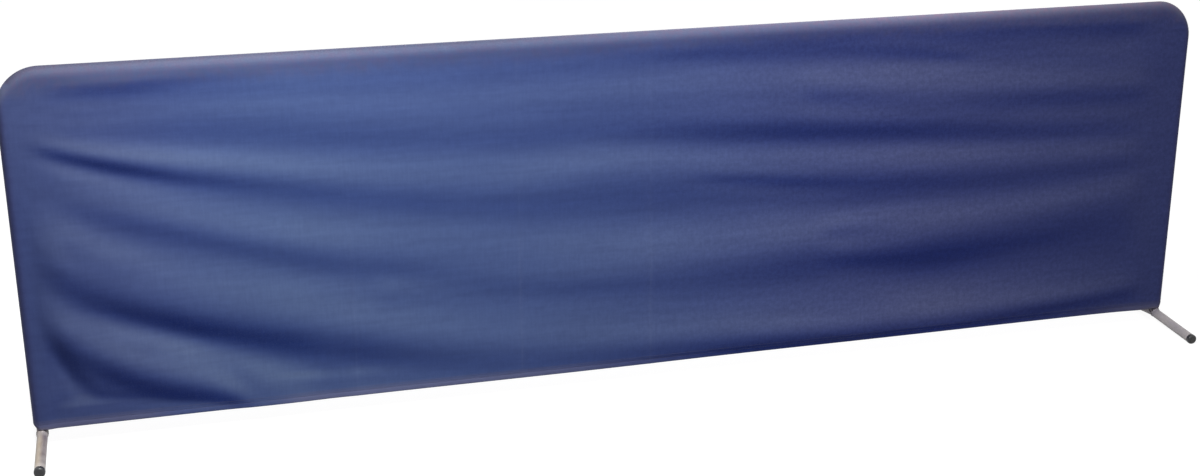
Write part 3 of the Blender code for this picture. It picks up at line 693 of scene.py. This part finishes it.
def cloth_point(way, across, down, fine=True):
    """Outer face of a panel; across and down are metres along the cloth from its left and top seams."""
    from_right = CLOTH_ACROSS - across
    side = np.where(across < from_right, 1.0, -1.0)
    inset_x = inset_of(np.minimum(across, from_right))
    x = -side * (HALF_WIDTH - inset_x)
    drop = inset_of(down)
    lift = CORNER_LIFT * np.clip(1 - inset_x / CORNER_LIFT_WIDTH, 0, 1) ** 1.5
    drop = drop - lift * smooth_step((drop - DROP + LIFT_ZONE) / LIFT_ZONE)
    inset = np.minimum(inset_x, drop)
    out_x, out_z = np.abs(x) - (HALF_WIDTH - CORNER_RADIUS), CORNER_RADIUS - drop
    reach = np.maximum(out_x, out_z)
    safe_x, safe_z = np.maximum(out_x, 1e-9), np.maximum(out_z, 1e-9)
    turn = math.pi / 4 * np.where(out_x >= out_z, safe_z / safe_x, 2 - safe_x / safe_z)
    corner = np.minimum(out_x, out_z) > 0
    at_top = np.where(corner, turn / (math.pi / 2), np.where(out_z > 0, 1.0, 0.0))
    wrap = WRAP_RADIUS + TOP_EASE * smooth_step(at_top)
    ring = np.minimum(inset, wrap) / wrap
    round_depth = WRAP_RADIUS * np.sqrt(np.maximum(1 - (1 - ring) ** 2, 0))
    calm = smooth_step((inset - WRAP_RADIUS) / FRAME_MARGIN)
    along = HALF_WIDTH - way * x
    height = fold_height(along, drop) * (1.0 if way < 0 else BACK_FOLD_SHARE)
    if fine:
        height = height + fine_height(way, along, drop)
    at_rail = smooth_step((drop - DROP + RAIL_ZONE) / RAIL_ZONE_FADE)
    held = RAIL_EASE * np.logaddexp(0, (height + RAIL_CLEARANCE) / RAIL_EASE) - RAIL_CLEARANCE
    height = height + at_rail * (held - height)
    if way < 0:
        curl = HEM_CURL * smooth_step((along - 0.9) / 0.6) * smooth_step((2.30 - along) / 0.15)
        height = height - curl * smooth_step((drop - DROP + HEM_CURL_DEPTH) / HEM_CURL_DEPTH)
    depth = np.maximum(round_depth, SEAM_HALF_GAP) + height * calm
    drawn_in = smooth_step((drop - (TOP - MOUTH_Z)) / (DROP - TOP + MOUTH_Z))
    beyond = np.maximum(np.abs(x) - UPRIGHT_X, 0)
    x = np.sign(x) * (np.abs(x) - CORNER_DRAW * beyond * drawn_in)
    round_x = np.sign(x) * (HALF_WIDTH - CORNER_RADIUS + reach * np.cos(turn))
    round_z = TOP - CORNER_RADIUS + reach * np.sin(turn)
    x, z = np.where(corner, round_x, x), np.where(corner, round_z, TOP - drop)
    return np.stack([x, way * depth, z], axis=-1)


def unit(vectors):
    return vectors / np.maximum(np.linalg.norm(vectors, axis=-1, keepdims=True), 1e-12)


def outward(way, across, down):
    """The outward direction at a place on a panel."""
    step = 0.0004
    left, right = np.maximum(across - step, 0), np.minimum(across + step, CLOTH_ACROSS)
    over = cloth_point(way, right, down, False) - cloth_point(way, left, down, False)
    above = np.maximum(down - step, 0)
    under = cloth_point(way, across, down + step, False) - cloth_point(way, across, above, False)
    return unit(way * np.cross(over, under))


def spaced(start, end, step):
    return list(np.linspace(start, end, max(2, round((end - start) / step) + 1)))


def panel_lines():
    """Where the panel's grid lines run, across and down the cloth."""
    wrap = spaced(0, QUARTER, QUARTER / 8)
    corner = spaced(QUARTER, QUARTER + CORNER_RADIUS - WRAP_RADIUS, CORNER_STEP)
    middle = spaced(corner[-1], CLOTH_ACROSS - corner[-1], ACROSS_STEP)
    beside = (-0.004, 0, 0.004)
    creases = [x - WRAP_RADIUS + QUARTER + offset for x in STORAGE_CREASES for offset in beside]
    middle = [x for x in middle if min(abs(x - c) for c in creases) > 0.0025] + creases
    across = sorted({*wrap, *corner, *middle, *(CLOTH_ACROSS - x for x in wrap + corner)})
    across = [x for x, after in zip(across, [*across[1:], 9]) if after - x > 0.0001]
    hem_top = CLOTH_DOWN - HEM_DEPTH - 0.010
    groove = [CLOTH_DOWN - HEM_STITCH + offset for offset in (-0.0022, -0.0010, 0, 0.0010, 0.0022)]
    down = [*wrap, *corner[1:], *spaced(corner[-1], hem_top, DOWN_STEP)[1:]]
    down += [hem_top + 0.003, hem_top + 0.006, *groove, CLOTH_DOWN - 0.004, CLOTH_DOWN - 0.0015, CLOTH_DOWN]
    return np.array(across), np.array(down)


def cloth_grid(name, points, flat):
    """A grid of cloth with its points in place; the UV map is the cloth laid flat, in metres."""
    deselect()
    rows, columns = points.shape[:2]
    bpy.ops.mesh.primitive_grid_add(x_subdivisions=columns - 1, y_subdivisions=rows - 1, size=2)
    piece = bpy.context.object
    piece.name = piece.data.name = name
    # The grid primitive counts its vertices along X first, from its lower edge up
    piece.data.vertices.foreach_set("co", points.reshape(-1).astype(np.float32))
    corners = np.zeros(len(piece.data.loops), np.int32)
    piece.data.loops.foreach_get("vertex_index", corners)
    piece.data.uv_layers[0].name = "cloth"
    piece.data.uv_layers[0].data.foreach_set("uv", flat[corners].ravel().astype(np.float32))
    return piece


def sew_panel(name, way):
    """A panel as one grid: round the tubes, flat between them, and its hem turned up inside."""
    across, down = panel_lines()
    # The hem's rows: their share of the way inwards, and how far they lie below the edge (minus is above it)
    turned = [(0.25, 0.0003), (0.75, 0.0003), (1.0, -0.0006), (1.0, -HEM_DEPTH / 2), (1.0, -HEM_DEPTH)]
    u, v = np.meshgrid(across, down)
    points = cloth_point(way, u, v)
    normals = outward(way, u, v)
    above_hem = CLOTH_DOWN - v
    groove = np.exp(-(((above_hem - HEM_STITCH) / GROOVE_WIDTH) ** 2))
    band = smooth_step((HEM_STITCH - above_hem) / (2 * GROOVE_WIDTH))
    points = points + normals * (STITCH_BAND * band - STITCH_GROOVE * groove)[..., None]
    inner = -normals[-1] * HEM_INSIDE * CLOTH_THICKNESS
    layers = [points]
    flat_v = [v]
    for depth_share, lift in turned:
        if lift < 0:
            base = cloth_point(way, u[-1], v[-1] + lift) + inner + normals[-1] * STITCH_BAND
        else:
            base = points[-1] + inner * depth_share - (0, 0, lift)
        layers.append(base[None])
        flat_v.append((v[-1] + HEM_TURN - min(lift, 0))[None])
    points = np.concatenate(layers)
    flat_v = np.concatenate(flat_v)
    flat = np.stack([np.tile(across, len(points)), flat_v[::-1].ravel()], axis=-1)
    panel = cloth_grid(name, points[::-1], flat)
    seam = np.minimum(np.minimum(flat[:, 0], CLOTH_ACROSS - flat[:, 0]), flat[:, 1])
    # How much each point faces up; the cloth's material paints light and shade on the folds from it.
    tilt = np.concatenate([normals[..., 2], np.repeat(normals[-1:, :, 2], len(turned), 0)])[::-1].ravel()
    places = (HALF_WIDTH - WRAP_RADIUS) + (flat[:, 0] - QUARTER - (HALF_WIDTH - WRAP_RADIUS)) * -way
    creased = sum(
        worn * np.exp(-np.abs(places + WRAP_RADIUS - x) / CREASE_WEAR_WIDTH)
        for x, worn in zip(STORAGE_CREASES, CREASE_WEAR)
    )
    for key, values in (("from_seam", seam), ("faces_up_for_painted_light", tilt), ("creased", creased)):
        kept = panel.data.attributes.new(key, "FLOAT", "POINT")
        kept.data.foreach_set("value", values.astype(np.float32))
    panel.data.update()
    if panel.data.polygons[len(panel.data.polygons) // 2].normal.y * way < 0:
        panel.data.flip_normals()
    modify(panel, "SOLIDIFY", thickness=CLOTH_THICKNESS, offset=-1)
    smooth(panel, 60)
    return panel


def on_cloth(nodes):
    """The place on the cloth laid flat."""
    return nodes.node("ShaderNodeUVMap", {"uv_map": "cloth"}, {})


def coated_cloth():
    """Navy coated polyester: woven grain, faint sheen, the coating rubbed pale along the hem and along the
    top, where the pale band is partly painted light; painted light and shade on the folds, the sides, the
    lower corners, the top middle and the right half.
    """
    nodes = paint("navy_coated_polyester")
    span, tint, cloud = nodes.span, nodes.tint, nodes.cloud
    spot = on_cloth(nodes)
    # u and v are metres along the cloth, from the barrier's left end and from the top seam
    u, v = (nodes.axis(spot, word) for word in "XY")
    pitch = math.tau / THREAD_PITCH
    weave = nodes.math("SINE", u * pitch) * nodes.math("SINE", v * pitch)
    grain = cloud(spot, 320, 2, 0.6)
    slub = cloud(nodes.stretched(spot, (0.15, 1, 1)), 150, 2)
    broad = cloud(spot, 2.6, 3)
    streaks = cloud(nodes.stretched(spot, (0.09, 1, 1)), 80, 3, 0.6)
    threads = cloud(nodes.stretched(spot, (1, 0.10, 1)), 230, 2, 0.6)
    # Painted light and shade on the folds: paler and greyer where the cloth faces up, deep navy where it
    # faces down.
    tilt = nodes.attribute("faces_up_for_painted_light")
    painted_tilt_light = nodes.node("ShaderNodeMapRange", {}, {"Value": tilt, "From Min": -0.3, "From Max": 0.3})
    # Painted shade: darker at the top middle, for the light falling off from the top left; it also darkens
    # the pale top band there.
    painted_shade_top_middle = span(u, 0.45, 0.90) * span(u, 1.80, 1.40) * span(v, 0.34, 0.05)
    colour = nodes.coats(
        (0.006, 0.025, 0.200),
        (painted_tilt_light, (0.096, 0.123, 0.207)),
        (span(broad, 0.3, 0.7) * 0.25, (0.048, 0.071, 0.210)),
        (span(grain, 0.35, 0.75) * 0.25, (0.060, 0.087, 0.230)),
    )
    # Painted shade: the right half darker and more purple, the lower left darker as a big fold's shade, and
    # the lower right darker; the left end is warmer and from 0.15 m to 1.7 m the cloth is a little greener.
    colour = nodes.coats(
        colour,
        (span(u, 0.7, 1.9) * 0.5, (1.02, 0.76, 1.0)),
        (span(u, 0.35, 0.02), (1.0, 0.93, 0.88)),
        (span(u, 0.40, 0.02) * span(v, 0.08, 0.30), (0.84, 0.88, 0.96)),
        (span(u, 1.90, 2.25) * span(v, 0.35, 0.55), (0.89, 0.91, 0.94)),
        (span(u, 0.15, 0.50) * span(u, 1.70, 1.00), (1.01, 1.07, 1.0)),
        (painted_shade_top_middle, (0.84, 0.84, 0.90)),
        way="MULTIPLY",
    )
    folded = nodes.attribute("creased") * span(v, 0.20, 0.55, 0.3, 1.0) * span(threads, 0.3, 0.7, 0.5, 1.0)
    colour = tint(folded * 0.20, colour, (0.100, 0.125, 0.240))
    stripes = span(streaks, 0.3, 0.7) * 0.4 + span(threads, 0.3, 0.7) * 0.25
    stripes = stripes + span(cloud(spot, 60, 4, 0.7), 0.3, 0.7) * 0.35
    stripes = tint(stripes, (0.87, 0.87, 0.90), (1.13, 1.13, 1.10))
    mottled = span(cloud(spot, 120, 4, 0.75), 0.3, 0.7)
    mottled = tint(mottled, (0.89, 0.89, 0.90), (1.11, 1.11, 1.10))
    colour = nodes.coats(colour, (1.0, stripes), (span(u, 0.8, 1.7), mottled), way="MULTIPLY")
    # Along the top the coating is pale and greyer: partly rubbed wear, partly painted light on the cloth that
    # faces up over the top tube.
    from_top = span(v, 0.004, 0.023)
    worn = tint(
        span(u, 0.7, 1.9), tint(from_top, (0.035, 0.031, 0.052), (0.067, 0.075, 0.145)),
        tint(from_top, (0.210, 0.200, 0.280), (0.100, 0.108, 0.210)),
    )
    ragged = cloud(spot, 34, 4, 0.65) * 0.044
    rubbed = span(v + span(u, 0.8, 1.6) * 0.010 + ragged, 0.086, 0.034) * (0.62 + grain * 0.5)
    blotches = span(cloud(spot, 75, 4, 0.65), 0.40, 0.62)
    worn = nodes.coats(worn, (blotches, (1.22, 0.94, 0.94)), (painted_shade_top_middle, (0.72, 0.76, 0.82)), way="MULTIPLY")
    # Painted shade: a darker purple band along the left and right sides, where the cloth turns away from the
    # light round the uprights.
    side = span(nodes.attribute("from_seam"), 0.030, 0.004) * span(v, 0.02, 0.08)
    # Painted shadow: between 0.19 m and 0.50 m the pale hem is mostly left out, so it stays dark where a
    # fold's shadow falls.
    clear_of_hem_shadow = 1.0 - span(u, 0.19, 0.28) * span(u, 0.50, 0.42) * 0.75
    hem_ends = span(u, 1.4, 0.9) * clear_of_hem_shadow + span(u, 2.05, 2.28)
    hem = span(v, CLOTH_DOWN - 0.022, CLOTH_DOWN - 0.006) * hem_ends
    corners = span(u, 0.06, 0.01) + span(u, 2.26, 2.32)
    edge_wear = span(v, CLOTH_DOWN - 0.007, CLOTH_DOWN - 0.001) * corners
    colour = nodes.coats(
        colour, (rubbed * 0.9, worn), (side * 0.35, (0.048, 0.028, 0.095)),
        (hem * 0.6, (0.130, 0.128, 0.215)), (edge_wear * 0.6, (0.20, 0.18, 0.22)),
    )
    texture = weave * 0.4 + slub * 0.8 + grain * 0.5 + streaks * 1.6 + threads * 0.7
    return nodes.shade({
        "Base Color": colour, "Roughness": 0.50 + grain * 0.10 + rubbed * 0.08,
        "Specular IOR Level": 0.12, "Sheen Weight": 0.02, "Sheen Roughness": 0.45,
        "Sheen Tint": (0.75, 0.80, 1.0), "Normal": nodes.bump(texture, 0.00010, 0.5),
    })


NAVY = coated_cloth()
front = sew_panel("cover_front_sheet", -1)
back = sew_panel("cover_back_sheet", 1)
for panel, node in ((front, "front_panel"), (back, "back_panel")):
    finish(panel, NAVY, "navy_cloth", "frame", node)


# CLOSING FLAP AND TAPES
# A cloth flap sewn inside the back panel goes under the bottom rail and closes against the front panel.
# Hook tape on the front panel and loop tape on the flap hold it, just above the hem.

flap_low, flap_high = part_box("closure_flap")
tape_low, tape_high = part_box("closure_hook_tape")
TAPE_THICKNESS = 0.00055
HOOK_Y = WRAP_RADIUS - 2.15 * CLOTH_THICKNESS  # outer side of the hook tape, which lies on the turned-up hem
LOOP_Y = HOOK_Y - TAPE_THICKNESS - 0.0003
LIP_Y = LOOP_Y - TAPE_THICKNESS - 0.0002
UNDER_Z = 0.0525  # of the flap where it goes under the rail
BEND = 0.0030
BEND_PARTS = 4
STRIP_POINTS = 225


def panel_shift(way, x, z):
    """How far a panel's folds carry it outwards at a place."""
    across = x + HALF_WIDTH - WRAP_RADIUS + QUARTER
    down = TOP - z - WRAP_RADIUS + QUARTER
    return way * cloth_point(way, across, down)[..., 1] - WRAP_RADIUS


def sew_strip(name, profile, thickness):
    """A strip along the barrier, from points: depth, height, and how much it follows each panel's folds."""
    xs = np.linspace(flap_low.x, flap_high.x, STRIP_POINTS)
    rows = []
    for y, z, front_share, back_share in profile:
        level = np.full(len(xs), max(z, HEM_Z + 0.002))
        shift = back_share * panel_shift(1, xs, level) - front_share * panel_shift(-1, xs, level)
        rows.append(np.stack([xs, y + shift, np.full(len(xs), z)], axis=-1))
    runs = [math.dist(point[:2], after[:2]) for point, after in zip(profile, profile[1:])]
    travelled = np.concatenate([[0], np.cumsum(runs)])
    flat = np.stack([np.tile(xs - xs[0], len(profile)), np.repeat(travelled, len(xs))], axis=-1)
    strip = cloth_grid(name, np.array(rows), flat)
    strip.data.update()
    modify(strip, "SOLIDIFY", thickness=thickness, offset=0)
    smooth(strip, 60)
    return strip, (xs[-1] - xs[0], travelled[-1])


def bend_points(centre_y, centre_z, start, turn, share):
    """A rounded fold in a strip's profile."""
    angles = [start + turn * n / BEND_PARTS for n in range(BEND_PARTS + 1)]
    return [(centre_y + BEND * math.cos(a), centre_z + BEND * math.sin(a), *share) for a in angles]


def flap_cloth():
    nodes = paint("navy_flap_cloth")
    spot = on_cloth(nodes)
    grain = nodes.cloud(spot, 320, 2, 0.6)
    edge = nodes.cloud(spot, 12, 3)
    colour = nodes.tint(grain, (0.024, 0.033, 0.120), (0.040, 0.050, 0.150))
    return nodes.shade({
        "Base Color": nodes.tint(nodes.span(edge, 0.5, 0.7) * 0.2, colour, (0.09, 0.085, 0.15)),
        "Roughness": 0.55 + grain * 0.1, "Specular IOR Level": 0.22,
        "Normal": nodes.bump(grain, 0.00010, 0.5),
    })


def tape_finish(name, dark, light, pitch, depth):
    """Hook or loop tape: rows of tiny hooks, or a felted pile, on a woven ground with plain edges."""
    nodes = paint(name)
    spot = on_cloth(nodes)
    pile = nodes.node("ShaderNodeTexVoronoi", {"feature": "F1"}, {"Vector": spot, "Scale": 1 / pitch})
    fluff = nodes.cloud(spot, 600, 3, 0.7)
    colour = nodes.tint(nodes.span(pile, 0.1, 0.7), light, dark)
    return nodes.shade({
        "Base Color": nodes.tint(fluff * 0.3, colour, light), "Roughness": 0.85,
        "Specular IOR Level": 0.2, "Sheen Weight": 0.15,
        "Normal": nodes.bump(pile * -1.0 + fluff * 0.5, depth),
    })


sewn_y = WRAP_RADIUS - 2.2 * CLOTH_THICKNESS
flap_profile = [
    (sewn_y, flap_high.z, 0, 1), (sewn_y, flap_high.z - 0.007, 0, 1),
    *bend_points(sewn_y - BEND, UNDER_Z + BEND, 0, -math.pi / 2, (0, 1)),
    (0.0045, UNDER_Z, 0.2, 0.8), (0.0, UNDER_Z, 0.5, 0.5), (-0.0035, UNDER_Z, 0.8, 0.2),
    *bend_points(-LIP_Y + BEND, UNDER_Z - BEND, math.pi / 2, math.pi / 2, (1, 0)),
    (-LIP_Y, 0.0440, 1, 0), (-LIP_Y, 0.0390, 1, 0), (-LIP_Y, flap_low.z, 1, 0),
]
flap, flap_flat = sew_strip("closing_flap_sheet", flap_profile, CLOTH_THICKNESS)
finish(flap, flap_cloth(), "navy_cloth", "frame", "closure_flap")
for name, node, depth, dark, light, pitch in (
    ("hook_tape_strip", "closure_hook_tape", HOOK_Y, (0.010, 0.011, 0.016), (0.05, 0.05, 0.06), 0.0014),
    ("loop_tape_strip", "closure_loop_tape", LOOP_Y, (0.014, 0.016, 0.030), (0.06, 0.065, 0.09), 0.0026),
):
    middle = -(depth - TAPE_THICKNESS / 2)
    heights = np.linspace(tape_high.z, tape_low.z, 4)
    tape, tape_flat = sew_strip(name, [(middle, z, 1, 0) for z in heights], TAPE_THICKNESS)
    finish(tape, tape_finish(name, dark, light, pitch, 0.0003), "hook_and_loop_tape", "frame", node)


# STITCHING
# Rows of lockstitch hold the hem, the tapes and the flap; a close seam joins the panels round the outline.
# Bonded polyester thread, a little paler than the cloth: each stitch is a short raised bar between two holes.

THREAD_RADIUS = 0.00022
STITCH_LENGTH = 0.0030
STITCH_PITCH = 0.0036
SEAM_STITCH_LENGTH = 0.0017
SEAM_STITCH_PITCH = 0.0042
FLAP_STITCH = 0.0360  # above the back's lower edge
STITCH_PARTS = 4
STITCH_RISE = 0.00014
STITCH_DIP = 0.00038
SEAM_UP, SEAM_OVER = 500, 1500  # points that the seam's line is measured along


def one_stitch(length):
    """A stitch along X, its ends drawn down into the cloth."""
    deselect()
    bpy.ops.mesh.primitive_circle_add(
        vertices=6, radius=THREAD_RADIUS, fill_type="NGON", location=(-length / 2, 0, 0),
        rotation=(0, math.pi / 2, 0),
    )
    piece = begin("stitch")
    for step in range(STITCH_PARTS):
        extrude((length / STITCH_PARTS, 0, 0))
    shape = bmesh.from_edit_mesh(piece.data)
    for vert in shape.verts:
        vert.co.z += STITCH_RISE - STITCH_DIP * (2 * vert.co.x / length) ** 2
    bmesh.update_edit_mesh(piece.data)
    end_edit()
    return piece


def sew_rows(name, length, rows):
    """Rows of stitches as one piece; a row gives each one's place, its run and the way out of the cloth."""
    pattern = one_stitch(length)
    base = np.zeros(len(pattern.data.vertices) * 3, np.float32)
    pattern.data.vertices.foreach_get("co", base)
    base = base.reshape(1, -1, 3, 1)
    faces = [tuple(face.vertices) for face in pattern.data.polygons]
    places, along, out = (np.concatenate(part)[:, None] for part in zip(*rows))
    points = places + base[:, :, 0] * along + base[:, :, 1] * np.cross(out, along) + base[:, :, 2] * out
    count = base.shape[1]
    row = bpy.data.meshes.new(name)
    row.from_pydata(
        points.reshape(-1, 3).tolist(), [],
        [tuple(corner + n * count for corner in face) for n in range(len(points)) for face in faces],
    )
    piece = new_piece(name, row)
    bpy.data.objects.remove(pattern)
    smooth(piece, 60)
    return piece


def panel_row(way, height, sunk):
    """A row along a panel, at a height above its lower edge."""
    across = np.arange(0.004, CLOTH_ACROSS - 0.004, STITCH_PITCH)
    down = np.full(len(across), CLOTH_DOWN - height)
    along = unit(cloth_point(way, across + 0.001, down) - cloth_point(way, across - 0.001, down))
    out = outward(way, across, down)
    out = unit(out - along * np.sum(out * along, axis=-1, keepdims=True))
    return cloth_point(way, across, down) - out * sunk, along, out


def outline_row():
    """The seam's stitches: up the left side, along the top and down the right side, each across the seam."""
    up = np.linspace(CLOTH_DOWN - HEM_DEPTH, 0, SEAM_UP)
    over = np.linspace(0, CLOTH_ACROSS, SEAM_OVER)
    across = np.concatenate([np.zeros(SEAM_UP - 1), over, np.full(SEAM_UP - 1, CLOTH_ACROSS)])
    down = np.concatenate([up[:-1], np.zeros(SEAM_OVER), up[::-1][1:]])
    line = cloth_point(-1, across, down) * (1, 0, 1)
    travelled = np.concatenate([[0], np.cumsum(np.linalg.norm(np.diff(line, axis=0), axis=-1))])
    stops = np.arange(0.002, travelled[-1], SEAM_STITCH_PITCH)
    places, before, after = (
        np.stack([np.interp(stops + shift, travelled, line[:, n]) for n in range(3)], axis=-1)
        for shift in (0, -0.002, 0.002)
    )
    along = np.tile([0.0, 1.0, 0.0], (len(stops), 1))
    return places, along, unit(np.cross(after - before, along))


def sewing_thread():
    nodes = paint("navy_sewing_thread")
    twist = nodes.cloud(nodes.place(), 2400, 2)
    wear = nodes.cloud(nodes.place(), 14, 2)
    return nodes.shade({
        "Base Color": nodes.tint(wear, (0.045, 0.050, 0.125), (0.095, 0.098, 0.185)),
        "Roughness": 0.48 + twist * 0.16, "Specular IOR Level": 0.25,
        "Normal": nodes.bump(twist, 0.00006, 0.6),
    })


THREAD = sewing_thread()
front_rows = [panel_row(-1, HEM_STITCH, STITCH_GROOVE), panel_row(-1, TAPE_STITCH, 0)]
back_rows = [panel_row(1, HEM_STITCH, STITCH_GROOVE), panel_row(1, FLAP_STITCH, 0)]
for name, length, rows in (
    ("front_stitching", STITCH_LENGTH, front_rows),
    ("back_stitching", STITCH_LENGTH, back_rows),
    ("outline_stitching", SEAM_STITCH_LENGTH, [outline_row()]),
):
    finish(sew_rows(name, length, rows), THREAD, "navy_cloth", "frame")


# STAGE
# A plain white floor, the camera where the photograph was taken, and three soft lamps: a key light above the
# front's left half, a weak one at the right and one behind. Far off, the floor is nearly as white as the sky.


def lens_rays(nodes):
    """1 for rays that come from the camera, a reflection or clear material, and 0 for other light."""
    kinds = ("Camera", "Glossy", "Transmission")
    camera, glossy, clear = (nodes.node("ShaderNodeLightPath", {}, {}, f"Is {kind} Ray") for kind in kinds)
    return nodes.math("MINIMUM", camera + glossy + clear, 1.0)


deselect()
bpy.ops.mesh.primitive_plane_add(size=40, location=(0, 0, 0))
floor = bpy.context.object
floor.name = "floor"
ground = paint("pale_floor")
away = ground.node("ShaderNodeVectorMath", {"operation": "LENGTH"}, {0: ground.place()}, "Value")
pale = ground.tint(ground.span(away, 1.5, 2.8), (0.93, 0.93, 0.93), (0.99, 0.99, 0.99))
glow = ground.tint(lens_rays(ground), (0, 0, 0), pale)
ground.shade({
    "Base Color": (0.18, 0.18, 0.18), "Roughness": 0.9, "Specular IOR Level": 0.0,
    "Emission Color": glow, "Emission Strength": 1.0,
})
floor.data.materials.append(ground.owner)

world = bpy.data.worlds.new("studio")
bpy.context.scene.world = world
sky = Nodes(world)
sky.tree.nodes.clear()
soft = sky.node("ShaderNodeBackground", {}, {"Color": (1.0, 0.90, 1.0), "Strength": 0.11})
white = sky.node("ShaderNodeBackground", {}, {"Color": (1, 1, 1), "Strength": 1.0})
both = sky.node("ShaderNodeMixShader", {}, {0: lens_rays(sky), 1: soft, 2: white})
out = sky.tree.nodes.new("ShaderNodeOutputWorld")
sky.tree.links.new(both.socket, out.inputs["Surface"])


def lamp(name, place, target, size, watts, colour, spread):
    deselect()
    bpy.ops.object.light_add(type="AREA", location=place)
    light = bpy.context.object
    light.name = name
    light.data.shape = "RECTANGLE"
    light.data.size, light.data.size_y = size
    light.data.energy = watts
    light.data.color = colour
    light.data.spread = math.radians(spread)
    light.rotation_euler = (Vector(target) - Vector(place)).to_track_quat("-Z", "Y").to_euler()


lamp("key_light", (-0.60, -0.75, 2.20), (-0.50, 0, 0.35), (1.1, 0.5), 44, (0.97, 1.0, 0.98), 120)
lamp("fill_light", (1.75, -1.5, 2.0), (1.1, 0, 0.4), (1.4, 1.0), 7.5, (1.0, 0.96, 1.0), 180)
lamp("back_light", (0.3, 2.1, 1.7), (0.1, 0, 0.35), (1.8, 1.0), 34, (1.0, 0.98, 1.0), 180)

YAW, PITCH, ROLL = math.radians(15.173), math.radians(18.033), math.radians(-0.299)
bpy.ops.object.camera_add(location=(-0.8901, -2.9382, 1.2909))
camera = bpy.context.object
camera.name = "photo_camera"
camera.data.sensor_width = 36.0
camera.data.lens = 49.63
turned = Matrix.Rotation(-YAW, 3, "Z") @ Matrix.Rotation(math.pi / 2 - PITCH, 3, "X")
camera.rotation_euler = (turned @ Matrix.Rotation(ROLL, 3, "Z")).to_euler()
bpy.context.scene.camera = camera
bpy.context.scene.view_settings.view_transform = "Standard"
